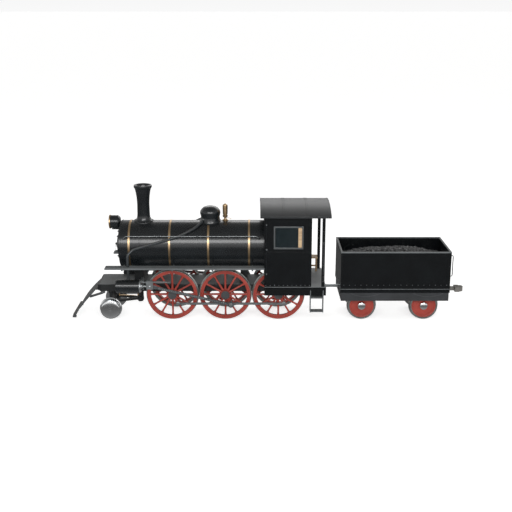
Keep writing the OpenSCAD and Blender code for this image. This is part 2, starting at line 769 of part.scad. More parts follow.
// Dished smokebox door with its two hinge straps and hinge pins
module smokebox_door() {
    face_x = smokebox_front_x - smokebox_ring - 2;
    dish = (door_radius * door_radius + door_bulge * door_bulge) / (2 * door_bulge);
    color([0.13, 0.14, 0.15]) {
        intersection() {
            bar_x(face_x - door_bulge - 20, face_x - 14, 0, boiler_z, door_radius - 14);
            translate([face_x - 14 - door_bulge + dish, 0, boiler_z]) sphere(r = dish, $fn = 128);
        }
        bar_x(face_x - 20, face_x, 0, boiler_z, door_radius);
        bar_x(face_x - door_bulge - 60, face_x - door_bulge + 20, 0, boiler_z, 34);
        for (z = hinge_offsets) difference() {
            union() {
                block([door_hinge_x - 14, 60, boiler_z + z - 30],
                    [face_x - 2, door_hinge_y, boiler_z + z + 30]);
                bar_z(door_hinge_x, door_hinge_y, boiler_z + z - 30, boiler_z + z + 30, 24);
            }
            translate([face_x - 14 - door_bulge + dish, 0, boiler_z]) sphere(r = dish - 6, $fn = 128);
        }
        for (z = hinge_offsets)
            bar_z(door_hinge_x, door_hinge_y, boiler_z + z - 72, boiler_z + z + 34, door_pin_radius);
    }
}

// Chimney: a saddle flange on the smokebox, a tapering stack and a flared rim, open down the middle
module chimney() {
    top = rail + chimney_top;
    base = boiler_top_z;
    color([0.1, 0.11, 0.12]) difference() {
        translate([chimney_x, 0, 0]) rotate_extrude() polygon([
            [chimney_bore_radius, base - 150], [270, base - 150], [270, base - 20], [262, base + 8],
            [215, base + 40], [188, base + 110], [chimney_neck_radius + 4, base + 220],
            [chimney_neck_radius, base + 420], [chimney_neck_radius + 6, top - 330],
            [chimney_neck_radius + 16, top - 250], [chimney_rim_radius - 22, top - 90],
            [chimney_rim_radius - 6, top - 76], [chimney_rim_radius, top - 62],
            [chimney_rim_radius, top - 14],
            [chimney_rim_radius - 10, top], [chimney_bore_radius + 34, top], [chimney_bore_radius, top - 60]
        ]);
        bar_x(chimney_x - 400, chimney_x + 400, 0, boiler_z, boiler_radius + seat);
    }
}

// The lamp stands clear above the smokebox door
lamp_z = boiler_z + door_radius + 33 + lamp_radius;
lamp_front_x = smokebox_front_x - 40 - lamp_length;

// Drum headlamp, hollow behind its front ring
module headlamp() {
    color("goldenrod") translate([lamp_front_x, 0, lamp_z]) rotate([0, 90, 0]) rotate_extrude() polygon([
        [0, 70], [lamp_radius - 42, 30], [lamp_radius - 34, 0], [lamp_radius - 6, 0], [lamp_radius, 8],
        [lamp_radius, 42], [lamp_radius - 12, 46], [lamp_radius - 12, lamp_length - 40],
        [lamp_radius - 46, lamp_length], [0, lamp_length]
    ]);
}

// Shelf and stays that hold the headlamp on the smokebox front
module lamp_bracket() {
    y = 90;
    under = lamp_z - sqrt(pow(lamp_radius - 12 + seat, 2) - y * y);
    color("dimgray") {
        difference() {
            for (s = [-1, 1])
                block([lamp_front_x + 80, s * y - 14, under - 40],
                    [smokebox_front_x - 16, s * y + 14, under + 12]);
            bar_x(lamp_front_x, smokebox_front_x, 0, lamp_z, lamp_radius - 12 + seat);
        }
        for (s = [-1, 1])
            block([smokebox_front_x - 30, s * y - 30, under - 40],
                [smokebox_front_x - 16, s * y + 30, under - 10]);
    }
}

// Boiler barrel from the smokebox into the cab
module boiler_barrel() {
    color([0.12, 0.13, 0.15]) bar_x(smokebox_rear_x, boiler_rear_x, 0, boiler_z, boiler_radius);
}

band_xs = [-3811, -2715, -1660, -551];
// Width of the flange round the dome's foot
dome_flange = 34;

// Four bands round the boiler's cladding
module boiler_bands() {
    color("goldenrod") for (x = band_xs) difference() {
        bar_x(x - band_width / 2, x + band_width / 2, 0, boiler_z, boiler_radius + band_thickness);
        bar_x(x - band_width, x + band_width, 0, boiler_z, boiler_radius + seat);
        bar_z(dome_x, 0, boiler_z, boiler_z + 800, dome_radius + dome_flange + seat);
    }
}

// Steam dome on its saddle flange
module steam_dome() {
    top = rail + dome_top;
    base = boiler_top_z;
    shoulder = 150;
    color([0.12, 0.13, 0.14]) difference() {
        translate([dome_x, 0, 0]) union() {
            bar_z(0, 0, base - 120, top - shoulder, dome_radius);
            rotate_extrude() intersection() {
                translate([0, top - shoulder]) scale_circle(dome_radius, shoulder);
                translate([0, top - shoulder - 1]) square([dome_radius + 1, shoulder + 2]);
            }
            rotate_extrude() polygon([
                [0, base - 140], [dome_radius + dome_flange, base - 140],
                [dome_radius + dome_flange - 4, base - 20],
                [dome_radius + 12, base + 4], [dome_radius, base + 30], [0, base + 30]
            ]);
        }
        bar_x(dome_x - 500, dome_x + 500, 0, boiler_z, boiler_radius + seat);
    }
}

// Quarter of an ellipse as a polygon with points from its formula
module scale_circle(a, b) {
    steps = 20;
    polygon(concat([[0, 0]], [for (i = [0:steps]) [a * cos(90 * i / steps), b * sin(90 * i / steps)]]));
}

// Brass whistle on a short stem behind the dome
module whistle() {
    base = boiler_top_z + seat;
    color("goldenrod") translate([whistle_x, 0, 0]) rotate_extrude() polygon([
        [0, base], [78, base], [78, base + 26], [40, base + 40], [40, base + 96], [72, base + 110],
        [72, base + 300],
        [66, base + 322], [70, base + 336], [70, base + 430], [52, base + 462], [20, base + 478],
        [0, base + 480]
    ]);
}

pipe_turn = boiler_radius + band_thickness + 6 + pipe_radius;
// Route of the left steam pipe as pairs of a place along the boiler and an angle from its top
pipe_route = [
    [-1868, 23], [-2018, 39], [-2230, 50], [-2416, 58], [-2738, 67], [-3224, 78], [-3577, 86], [-3700, 89.5]
];
pipe_drop_x = cylinder_front_x + 330;

// Outside steam pipes from the dome's foot, round the boiler's flanks and down to the cylinders
module steam_pipes() {
    foot_z = cylinder_z + cylinder_radius;
    color("gray") both_sides() difference() {
        union() {
            bent_bar(concat(
                [[dome_x - 150, 120, boiler_top_z + 66]],
                [for (p = pipe_route) [p[0], pipe_turn * sin(p[1]), boiler_z + pipe_turn * cos(p[1])]],
                [[pipe_drop_x, cylinder_y, boiler_z - 130], [pipe_drop_x, cylinder_y, foot_z - 10]]
            ), pipe_radius);
            bar_z(pipe_drop_x, cylinder_y, foot_z - 20, foot_z + 22, pipe_radius + 26);
        }
        bar_z(dome_x, 0, boiler_top_z - 200, boiler_top_z + 400, dome_radius + seat);
        bar_z(dome_x, 0, boiler_top_z - 200, boiler_top_z + 31, dome_radius + dome_flange + seat);
        bar_x(cylinder_front_x, cylinder_rear_x, cylinder_y, cylinder_z, cylinder_radius + seat);
    }
}

rail_rod = 13;
// Handrails lie just outside the steam pipes
handrail_turn = pipe_turn + pipe_radius + rail_rod + 6;
handrail_z = rail + 2366;
handrail_x = [-3885, -335];
pillar_xs = [-3000, -1950, -900];

// Handrails along both sides of the boiler, on short pillars
module boiler_handrails() {
    off = handrail_z - boiler_z;
    drop = 70;
    y = sqrt(pow(handrail_turn, 2) - off * off);
    root = sqrt(pow(boiler_radius, 2) - pow(off - rail_rod, 2)) + seat;
    low_root = sqrt(pow(boiler_radius, 2) - pow(off - drop - rail_rod, 2)) + seat;
    color("silver") both_sides() {
        bar_x(handrail_x[0], handrail_x[1], y, handrail_z, rail_rod);
        for (x = pillar_xs) bar_y(x, handrail_z, rail_rod - 2, root, y);
        for (end = [[handrail_x[0], -drop], [handrail_x[1], drop]]) {
            x1 = end[0] + end[1];
            bar([end[0], y, handrail_z], [x1, y, handrail_z - drop], rail_rod);
            translate([end[0], y, handrail_z]) sphere(r = rail_rod + 3, $fn = 24);
            bar_y(x1, handrail_z - drop, rail_rod, low_root, y);
            translate([x1, y, handrail_z - drop]) sphere(r = rail_rod + 3, $fn = 24);
        }
    }
}

board_z1 = rail + board_top;
board_z0 = board_z1 - board_thickness;
arm_xs = [-4000, -2640, -1560, -480];

// Running boards along both sides, on arms from the boiler
module running_boards() {
    arm = 40;
    arm_root = sqrt(pow(boiler_radius, 2) - pow(boiler_z - board_z0 + arm, 2)) - arm;
    color("gray") both_sides() difference() {
        union() {
            block([board_front_x, board_inner_y, board_z0], [cab_front_x, board_outer_y, board_z1]);
            for (x = arm_xs) block([x, arm_root, board_z0 - arm], [x + arm, board_outer_y - 20, board_z0]);
        }
        bar_x(board_front_x, 0, 0, boiler_z, boiler_radius + seat);
        bar_z(pipe_drop_x, cylinder_y, board_z0 - 60, board_z1 + 60, pipe_radius + 4);
    }
}

firebox_half_width = wheel_back - 65;

// Firebox casing under the boiler's rear end, between the rear driving wheels
module firebox() {
    color([0.14, 0.15, 0.16]) difference() {
        block([cab_front_x + cab_wall + 10, -firebox_half_width, frame_z1],
              [boiler_rear_x, firebox_half_width, boiler_z - 300]);
        bar_x(cab_front_x, boiler_rear_x + 10, 0, boiler_z, boiler_radius + seat);
    }
}

firehole_z = boiler_z - 560;
firehole_hinge_y = 262;

// Flat rear plate of the boiler with the fire hole's ring, regulator and gauges
module backhead() {
    x = boiler_rear_x;
    color([0.16, 0.17, 0.18]) {
        difference() {
            union() {
                bar_x(x, x + 26, 0, boiler_z, boiler_radius - 10);
                block([x, -firebox_half_width + 10, frame_z1], [x + 26, firebox_half_width - 10, boiler_z]);
                bar_x(x + 20, x + 46, 0, firehole_z, 205);
            }
            bar_x(x + 10, x + 50, 0, firehole_z, 170);
        }
        for (s = [-1, 1]) translate([0, 0, firehole_z + s * (44 + seat + 10)])
            block([x + 20, -firehole_hinge_y - 18, -10], [x + 76, -firehole_hinge_y + 18, 10]);
        for (y = [-1, 1]) bar_z(x + 56, y * 300, boiler_z - 60, boiler_z + 220, 16);
        for (y = [-1, 1]) for (z = [-40, 200]) bar_x(x + 20, x + 60, y * 300, boiler_z + z, 14);
        for (y = [-150, 150]) bar_x(x + 20, x + 70, y, boiler_z + 380, 72);
        bar_x(x + 20, x + 110, 0, boiler_z + 240, 26);
        bar([x + 100, 0, boiler_z + 240], [x + 100, 230, boiler_z + 60], 14);
    }
}

// Hinged door of the fire hole
module firehole_door() {
    x = boiler_rear_x + 46 + 1;
    color("dimgray") {
        bar_x(x, x + 22, 0, firehole_z, 195);
        block([x, -firehole_hinge_y, firehole_z - 24], [x + 22, -100, firehole_z + 24]);
        bar_z(x + 11, -firehole_hinge_y, firehole_z - 44, firehole_z + 44, 18);
        bar_x(x + 20, x + 60, 130, firehole_z, 14);
    }
}

wheel_box_y0 = wheel_back - 40;
wheel_box_y1 = pin_cap_y + 40;
wheel_box_rear_x = driver_x[2] + driver_radius + flange_depth + 40;
wheel_box_z = driver_z + driver_radius + flange_depth + 36;
box_sheet = 20;

// Floor of the cab with boxes over the rear driving wheels and a valance round the edge
module cab_floor() {
    y0 = wheel_box_y0;
    y1 = wheel_box_y1;
    color("gray") {
        difference() {
            block([cab_front_x, -cab_half_width, floor_z - floor_thickness],
                [frame_rear_x, cab_half_width, floor_z]);
            block([cab_front_x - 1, -firebox_half_width - 20, floor_z - 40],
                  [boiler_rear_x + 48, firebox_half_width + 20, floor_z + 10]);
            both_sides() block([cab_front_x - 1, y0 + box_sheet, floor_z - 40],
                               [wheel_box_rear_x - box_sheet, y1 - box_sheet, floor_z + 10]);
        }
        both_sides() {
            difference() {
                block([cab_front_x + cab_wall, y0, floor_z - 1],
                    [wheel_box_rear_x, y1, wheel_box_z + box_sheet]);
                block([cab_front_x, y0 + box_sheet, floor_z - 20],
                      [wheel_box_rear_x - box_sheet, y1 - box_sheet, wheel_box_z]);
            }
            block([cab_front_x, cab_inner, rail + 775],
                [frame_rear_x, cab_half_width, floor_z - floor_thickness]);
            for (x = [wheel_box_rear_x + 20, 1300])
                block([x, frame_half_width, floor_z - floor_thickness - 50],
                    [x + 50, cab_inner, floor_z - floor_thickness]);
        }
    }
}

// Front sheet of the cab, cut for the boiler and two narrow windows
module cab_front() {
    side_z = roof_underside(cab_inner) - seat;
    steps = 24;
    color([0.12, 0.13, 0.15]) difference() {
        translate([cab_front_x, 0, 0]) rotate([90, 0, 90]) linear_extrude(cab_wall) difference() {
            polygon(concat(
                [[cab_inner, floor_z], [cab_inner, side_z]],
                [for (i = [1:steps - 1]) let (y = cab_inner - 2 * cab_inner * i / steps) [y,
                roof_underside(y) - seat]],
                [[-cab_inner, side_z], [-cab_inner, floor_z]]
            ));
            for (s = [-1, 1]) translate([s > 0 ? 650 : -830, boiler_z + 330]) square([180, 420]);
            translate([-firebox_half_width, floor_z - 10])
                square([2 * firebox_half_width, boiler_z - 440 - floor_z]);
        }
        bar_x(cab_front_x - 10, cab_front_x + cab_wall + 10, 0, boiler_z, boiler_radius + 1);
        both_sides() block([cab_front_x - 1, wheel_box_y0 + box_sheet, floor_z - 1],
                           [cab_front_x + cab_wall + 1, wheel_box_y1 - box_sheet, wheel_box_z]);
    }
}

// One side sheet of the cab with its window opening
module cab_side() {
    top = roof_underside(cab_half_width) - seat;
    color([0.12, 0.13, 0.15]) difference() {
        block([cab_front_x, cab_inner, floor_z], [cab_side_rear_x, cab_half_width, top]);
        block([window_x[0], cab_inner - 1, window_z0], [window_x[1], cab_half_width + 1, window_z1]);
    }
}
module cab_side_left() { mirror([0, 1, 0]) cab_side(); }
module cab_side_right() { cab_side(); }

// Rear corner posts of the cab
module cab_posts() {
    color([0.12, 0.13, 0.15]) both_sides()
        block([cab_post_x, cab_inner, floor_z],
              [cab_post_x + cab_post_length, cab_half_width, roof_underside(cab_half_width) - seat]);
}

// Arched sheet roof
module cab_roof() {
    color("gray") translate([roof_front_x, 0, 0]) rotate([90, 0, 90])
        linear_extrude(roof_rear_x - roof_front_x)
        intersection() {
            translate([0, roof_z - roof_radius]) difference() {
                circle(r = roof_radius, $fn = 256);
                circle(r = roof_radius - roof_thickness, $fn = 256);
            }
            translate([-roof_half_width, roof_z - roof_rise - 60])
                square([2 * roof_half_width, roof_rise + 80]);
        }
}

// Metal frames round the side windows
module cab_window_frames() {
    f = window_frame;
    color("darkgray") both_sides() difference() {
        union() {
            block([window_x[0], cab_inner, window_z0], [window_x[1], cab_half_width + 10, window_z1]);
            block([window_x[0] - 8, cab_half_width, window_z0 - 8],
                [window_x[1] + 8, cab_half_width + 10, window_z1 + 8]);
        }
        block([window_x[0] + f, cab_inner - 1, window_z0 + f],
            [window_x[1] - f, cab_half_width + 20, window_z1 - f]);
    }
}

// Panes of the side and front windows
module cab_windows() {
    f = window_frame;
    color("lightsteelblue") both_sides() {
        block([window_x[0] + f, cab_inner + 12, window_z0 + f],
            [window_x[1] - f, cab_inner + 20, window_z1 - f]);
        block([cab_front_x + 14, 650, boiler_z + 330], [cab_front_x + 22, 830, boiler_z + 750]);
    }
}

seat_z = rail + 1360;

// Wooden bench on the right side of the cab, beside the doorway
module cab_seat() {
    color("burlywood") {
        block([1060, 560, seat_z + 30], [cab_post_x - 6, cab_inner - 6, seat_z + 76]);
        for (x = [1080, cab_post_x - 70]) block([x, 600, floor_z], [x + 50, 650, seat_z + 30]);
    }
}

// Place, heights and thickness of the cab steps' treads
step_x = [1105, 1475];
step_zs = [rail + 690, rail + 300];
tread_thickness = 32;
step_strap = 26;

// Two treads hung on straps below the cab's doorway, on each side
module cab_steps() {
    inner_y = 760;
    outer_y = cab_half_width + 10;
    under = floor_z - floor_thickness;
    foot = step_zs[1] - 10;
    color("dimgray") both_sides() {
        for (z = step_zs) block([step_x[0], inner_y - 20, z], [step_x[1], outer_y, z + tread_thickness]);
        for (x = [step_x[0], step_x[1] - step_strap]) {
            block([x, inner_y, foot], [x + step_strap, inner_y + 14, under]);
            block([x, cab_half_width, foot], [x + step_strap, outer_y, under - 60]);
        }
    }
}

// Flat bar between engine and tender with a pin eye at each end
module drawbar() {
    r = drawbar_pin_radius + running;
    pins = [drawbar_front_pin_x, drawbar_rear_pin_x];
    color("silver") difference() {
        union() {
            block([drawbar_front_pin_x, -50, drawbar_z - drawbar_half],
                  [drawbar_rear_pin_x, 50, drawbar_z + drawbar_half]);
            for (x = pins) bar_z(x, 0, drawbar_z - drawbar_half, drawbar_z + drawbar_half, 66);
        }
        for (x = pins) bar_z(x, 0, drawbar_z - 80, drawbar_z + 80, r);
    }
}

// Inside frame of the tender: side plates with axle boxes, cross stretchers and the drag box
module tender_frame() {
    x0 = tender_front_x + 120;
    x1 = tender_rear_x - 100;
    box = 96;
    plate = 30;
    jaw_x0 = drawbar_rear_pin_x - 80;
    jaw_x1 = drawbar_rear_pin_x + 160;
    jaw_top = drawbar_z + drawbar_half + drag_gap;
    jaw_bottom = drawbar_z - drawbar_half - drag_gap;
    color("dimgray") {
        both_sides() difference() {
            union() {
                block([x0, tender_frame_y - plate, rail + 560], [x1, tender_frame_y, platform_z0]);
                for (x = tender_axle_xs)
                    block([x - box, tender_frame_y - 70, tender_z - 110],
                        [x + box, wheel_back - clear, platform_z0 - 60]);
            }
            for (x = tender_axle_xs)
                bar_y(x, tender_z, small_axle_radius + running, tender_frame_y - 80, wheel_back);
        }
        for (x = [x0 + 330, tender_mid_x, x1 - 60])
            block([x, -tender_frame_y + plate, platform_z0 - 160],
                [x + 40, tender_frame_y - plate, platform_z0]);
        block([jaw_x0, -drag_half_width, jaw_top], [jaw_x1, drag_half_width, platform_z0]);
        block([jaw_x0, -drag_half_width, jaw_bottom - drag_jaw], [jaw_x1, drag_half_width, jaw_bottom]);
        block([jaw_x1 - 60, -drag_half_width, jaw_bottom - drag_jaw],
            [jaw_x1, drag_half_width, jaw_top + 4]);
        bar_z(drawbar_rear_pin_x, 0, jaw_bottom - 4, jaw_top + 4, drawbar_pin_radius);
        block([jaw_x1 - 10, -60, drawbar_z - 20], [x1, 60, platform_z0]);
    }
}

// Platform band and the skirt plates that hang round the wheels
module tender_skirt() {
    color([0.23, 0.23, 0.23]) {
        block([tender_front_x, -tender_half_width, platform_z0],
            [tender_rear_x, tender_half_width, platform_z1]);
        difference() {
            block([tender_front_x + 20, -tender_half_width + 6, rail + skirt_bottom],
                  [tender_rear_x - 20, tender_half_width - 6, platform_z0]);
            block([tender_front_x + 20 + skirt_wall, -tender_half_width + 6 + skirt_wall,
                rail + skirt_bottom - 1],
                  [tender_rear_x - 20 - skirt_wall, tender_half_width - 6 - skirt_wall, platform_z0 + 1]);
            block([tender_front_x, -190, drawbar_z - 90], [tender_front_x + 60, 190, platform_z0 + 1]);
            block([tender_rear_x - 60, -75, coupler_z - 75], [tender_rear_x, 75, coupler_z + 75]);
        }
    }
}

// Open-topped body of the tender
module tender_body() {
    z1 = rail + tender_top;
    color([0.12, 0.13, 0.14]) difference() {
        block([tender_front_x, -tender_half_width, platform_z1], [tender_rear_x, tender_half_width, z1]);
        block([tender_front_x + tender_wall, -tender_half_width + tender_wall, platform_z1 + tender_wall],
              [tender_rear_x - tender_wall, tender_half_width - tender_wall, z1 + 1]);
    }
}

// Heap of coal that fills the tender's body
module coal() {
    gap = tender_wall + seat;
    edge = rail + coal_edge_height;
    x0 = tender_front_x + gap;
    x1 = tender_rear_x - gap;
    y = tender_half_width - gap;
    color([0.05, 0.05, 0.05]) {
        block([x0, -y, platform_z1 + tender_wall + seat], [x1, y, edge]);
        translate([0, y, 0]) rotate([90, 0, 0]) linear_extrude(2 * y)
            polygon([
                [x0, edge - 1], [x1, edge - 1], [x1, edge + 10], [x1 - 700, edge + 90],
                [x0 + 900, edge + 70], [x0, edge + 6]
            ]);
    }
}

// Handrails on the tender's rear end
module tender_handrails() {
    x = tender_rear_x + 90;
    color("silver") both_sides() {
        bar_z(x, 600, rail + 1230, rail + 1820, rail_rod);
        for (z = [rail + 1230, rail + 1820]) {
            bar_x(tender_rear_x, x, 600, z, rail_rod);
            translate([x, 600, z]) sphere(r = rail_rod + 3, $fn = 24);
        }
    }
}

// Rear coupler: a shank with a head that takes a vertical pin
module tender_coupler() {
    head = 130;
    pin_x = coupler_end_x - 90;
    color("gray") difference() {
        union() {
            block([tender_rear_x - 120, -50, coupler_z - 50], [coupler_end_x - 160, 50, coupler_z + 50]);
            bar_z(pin_x, 0, coupler_z - 70, coupler_z + 70, 90);
            block([coupler_end_x - 240, -head, coupler_z - 70], [pin_x - 20, head, coupler_z + 70]);
            block([tender_rear_x, -120, coupler_z - 110], [tender_rear_x + 30, 120, coupler_z + 110]);
        }
        bar_z(pin_x, 0, coupler_z - 80, coupler_z + 80, coupler_pin_radius);
    }
}

main_frame();
axle_boxes();
front_beam();
pilot();
smokebox_saddle();
boiler_bracket();
cylinders();
guide_bars();
smokebox();
smokebox_door();
chimney();
headlamp();
lamp_bracket();
boiler_barrel();
boiler_bands();
steam_dome();
whistle();
steam_pipes();
boiler_handrails();
running_boards();
firebox();
backhead();
firehole_door();
cab_floor();
cab_front();
cab_side_left();
cab_side_right();
cab_posts();
cab_roof();
cab_window_frames();
cab_windows();
cab_seat();
cab_steps();
driver_wheels_1();
driver_tyres_1();
driver_wheels_2();
driver_tyres_2();
driver_wheels_3();
driver_tyres_3();
side_rod_left();
side_rod_right();
crosshead_left();
crosshead_right();
main_rod_left();
main_rod_right();
pony_frame();
pony_wheels();
drawbar();
tender_frame();
tender_skirt();
tender_body();
coal();
tender_handrails();
tender_coupler();
tender_wheels_1();
tender_tyres_1();
tender_wheels_2();
tender_tyres_2();
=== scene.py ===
"""A small steam locomotive with its tender: shells, wheels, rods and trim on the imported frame."""
import math
import random

import bpy
from mathutils import Matrix, Vector, noise


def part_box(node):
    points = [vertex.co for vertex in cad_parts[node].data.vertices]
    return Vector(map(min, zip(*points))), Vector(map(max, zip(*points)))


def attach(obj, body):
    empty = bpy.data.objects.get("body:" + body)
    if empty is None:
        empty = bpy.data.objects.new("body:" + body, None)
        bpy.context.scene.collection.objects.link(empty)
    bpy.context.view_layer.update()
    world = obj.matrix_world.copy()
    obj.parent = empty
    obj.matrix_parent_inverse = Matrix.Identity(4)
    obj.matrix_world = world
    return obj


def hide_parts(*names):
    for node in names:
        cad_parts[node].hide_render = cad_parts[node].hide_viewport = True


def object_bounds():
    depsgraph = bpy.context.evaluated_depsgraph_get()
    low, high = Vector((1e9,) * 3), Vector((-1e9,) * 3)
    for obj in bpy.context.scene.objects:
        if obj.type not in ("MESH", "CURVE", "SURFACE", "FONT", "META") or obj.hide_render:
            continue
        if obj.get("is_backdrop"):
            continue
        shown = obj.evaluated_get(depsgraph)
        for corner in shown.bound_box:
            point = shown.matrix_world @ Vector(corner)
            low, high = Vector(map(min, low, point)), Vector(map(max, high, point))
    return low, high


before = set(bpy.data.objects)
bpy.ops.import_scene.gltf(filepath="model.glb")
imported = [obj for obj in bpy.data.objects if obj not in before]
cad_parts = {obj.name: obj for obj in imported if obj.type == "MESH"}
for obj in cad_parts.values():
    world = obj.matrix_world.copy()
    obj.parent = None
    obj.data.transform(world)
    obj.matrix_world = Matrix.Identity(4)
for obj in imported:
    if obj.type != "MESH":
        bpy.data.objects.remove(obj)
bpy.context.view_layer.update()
random.seed(7)

# ---------------------------------------------------------------------------------------------
# Boiler barrel
# A rolled steel shell with thin sheet cladding over its lagging, finished in gloss black enamel.
# The cladding sheets meet under the brass bands, which pull them tight.
# ---------------------------------------------------------------------------------------------


def srgb(code):
    """A hex colour as linear red, green, blue and alpha."""
    channels = [int(code[i:i + 2], 16) / 255 for i in (1, 3, 5)]
    linear = [c / 12.92 if c <= 0.04045 else ((c + 0.055) / 1.055) ** 2.4 for c in channels]
    return (*linear, 1.0)


def add(tree, kind, inputs, **settings):
    """Adds a node, gives it its settings, and sets or links its inputs."""
    node = tree.nodes.new("ShaderNode" + kind)
    for key, value in settings.items():
        setattr(node, key, value)
    for key, value in inputs.items():
        if isinstance(value, bpy.types.NodeSocket):
            tree.links.new(value, node.inputs[key])
        else:
            node.inputs[key].default_value = value
    return node


def linked(tree, shader, colour, rough, bump=None):
    """Joins a colour, a roughness and, where there is one, a bump to a shader."""
    for key, source in (("Base Color", colour), ("Roughness", rough), ("Normal", bump)):
        if source is not None:
            tree.links.new(source, shader.inputs[key])


def surface(name):
    """An empty material: its node tree, its shader, and the place and normal on the piece."""
    material = bpy.data.materials.new(name)
    material.use_nodes = True
    tree = material.node_tree
    tree.nodes.clear()
    shader = add(tree, "BsdfPrincipled", {})
    add(tree, "OutputMaterial", {"Surface": shader.outputs["BSDF"]})
    return material, tree, shader, add(tree, "TexCoord", {})


def painted(name, colour, cloud, roughness, gloss, dust="#8d877b", dusty=0.25, peel_mm=9.0,
            peel=0.12):
    """Brushed or sprayed enamel over steel: cloudy colour, orange peel, dust on what faces up."""
    material, tree, shader, place = surface(name)
    mottle = add(tree, "TexNoise", {"Vector": place.outputs["Object"], "Scale": 2.2, "Detail": 6.0,
                                    "Roughness": 0.6})
    spread = add(tree, "ValToRGB", {"Fac": mottle.outputs["Fac"]})
    spread.color_ramp.elements[0].position = 0.34
    spread.color_ramp.elements[1].position = 0.68
    spread.color_ramp.elements[0].color = srgb(cloud)
    spread.color_ramp.elements[1].color = srgb(colour)
    fine = add(tree, "TexNoise", {"Vector": place.outputs["Object"], "Scale": 34.0, "Detail": 4.0,
                                  "Roughness": 0.7})
    upward = add(tree, "SeparateXYZ", {"Vector": place.outputs["Normal"]})
    facing = add(tree, "MapRange", {"Value": upward.outputs["Z"], "From Min": 0.35, "From Max": 1.0,
                                    "To Max": dusty})
    settled = add(tree, "Math", {0: facing.outputs["Result"], 1: fine.outputs["Fac"]},
                  operation="MULTIPLY")
    coat = add(tree, "Mix", {"Factor": settled.outputs["Value"], "A": spread.outputs["Color"],
                             "B": srgb(dust)},
               data_type="RGBA")
    rough = add(tree, "MapRange", {"Value": fine.outputs["Fac"], "From Min": 0.3, "From Max": 0.75,
                                   "To Min": roughness * 0.8, "To Max": roughness * 1.25})
    dull = add(tree, "Math", {0: settled.outputs["Value"], 1: 0.5, 2: rough.outputs["Result"]},
               operation="MULTIPLY_ADD")
    skin = add(tree, "TexNoise", {"Vector": place.outputs["Object"], "Scale": 1000.0 / peel_mm / 2,
                                  "Detail": 2.0})
    bump = add(tree, "Bump", {"Height": skin.outputs["Fac"], "Strength": peel, "Distance": 0.002})
    shader.inputs["Coat Weight"].default_value = gloss
    shader.inputs["Coat Roughness"].default_value = 0.08
    linked(tree, shader, coat.outputs["Result"], dull.outputs["Value"], bump.outputs["Normal"])
    return material


def named(name):
    """Names the primitive just added and leaves its place in its mesh."""
    piece = bpy.context.object
    piece.name = name
    piece.data.name = name
    bpy.ops.object.transform_apply(location=True, rotation=True, scale=True)
    return piece


def alone(piece):
    """Makes one piece the only one selected, and the active one."""
    if bpy.context.object and bpy.context.object.mode != "OBJECT":
        bpy.ops.object.mode_set(mode="OBJECT")
    bpy.ops.object.select_all(action="DESELECT")
    piece.select_set(True)
    bpy.context.view_layer.objects.active = piece
    return piece


def shape(piece, kind, test, *steps):
    """Picks the vertices, edges or faces that pass a test, and runs edit-mode steps on them."""
    alone(piece)
    mesh = piece.data
    for group in (mesh.vertices, mesh.edges, mesh.polygons):
        group.foreach_set("select", [False] * len(group))
    if kind == "FACE":
        for face in mesh.polygons:
            face.select = test(face.center, face.normal)
    elif kind == "EDGE":
        for edge in mesh.edges:
            ends = [mesh.vertices[i].co for i in edge.vertices]
            edge.select = test(ends[0], ends[1])
    else:
        for corner in mesh.vertices:
            corner.select = test(corner.co)
    bpy.context.tool_settings.mesh_select_mode = tuple(kind == k for k in ("VERT", "EDGE", "FACE"))
    bpy.ops.object.mode_set(mode="EDIT")
    for operator, settings in steps:
        operator(**settings)
    bpy.ops.object.mode_set(mode="OBJECT")
    return piece


def modified(piece, kind, **settings):
    """Adds a modifier with its settings and applies it."""
    alone(piece)
    modifier = piece.modifiers.new(kind.title(), kind)
    for key, value in settings.items():
        setattr(modifier, key, value)
    bpy.ops.object.modifier_apply(modifier=modifier.name)
    return piece


def drawn(name, points):
    """A line drawn from a plane's corner: each point is extruded from the one before."""
    bpy.ops.object.select_all(action="DESELECT")
    bpy.ops.mesh.primitive_plane_add(size=0.01, location=points[0])
    piece = named(name)
    bpy.context.tool_settings.mesh_select_mode = (True, False, False)
    bpy.ops.object.mode_set(mode="EDIT")
    bpy.ops.mesh.select_all(action="SELECT")
    bpy.ops.mesh.merge(type="CENTER")
    for here, there in zip(points, points[1:]):
        step = Vector(there) - Vector(here)
        bpy.ops.mesh.extrude_region_move(TRANSFORM_OT_translate={"value": step})
    bpy.ops.object.mode_set(mode="OBJECT")
    return piece


AXES = {"X": Vector((1, 0, 0)), "Y": Vector((0, 1, 0)), "Z": Vector((0, 0, 1))}
ACROSS = {"X": Vector((0, 0, 1)), "Y": Vector((0, 0, 1)), "Z": Vector((1, 0, 0))}


def turned(name, axis, centre, profile, steps=64):
    """A turned piece: a profile of (place along the axis, radius) spun once round the axis."""
    centre = Vector(centre)
    piece = drawn(name, [centre + AXES[axis] * along + ACROSS[axis] * radius for along,
                         radius in profile])
    everything = (bpy.ops.mesh.select_all, {"action": "SELECT"})
    spin = (bpy.ops.mesh.spin, {"steps": steps, "angle": 2 * math.pi, "center": centre,
                                "axis": AXES[axis]})
    merge = (bpy.ops.mesh.remove_doubles, {"threshold": 0.00002})
    outward = (bpy.ops.mesh.normals_make_consistent, {"inside": False})
    return shape(piece, "VERT", lambda place: True, spin, everything, merge, outward)


def joined(name, pieces):
    """Several pieces as one mesh."""
    alone(pieces[0])
    for piece in pieces:
        piece.select_set(True)
    if len(pieces) > 1:
        bpy.ops.object.join()
    pieces[0].name = name
    return pieces[0]


def copied(piece, name, matrix):
    """A copy with its own mesh, moved by a matrix; a mirrored copy has its faces turned out."""
    copy = piece.copy()
    copy.data = piece.data.copy()
    copy.name = name
    bpy.context.scene.collection.objects.link(copy)
    copy.data.transform(matrix)
    if matrix.determinant() < 0:
        copy.data.flip_normals()
    return copy


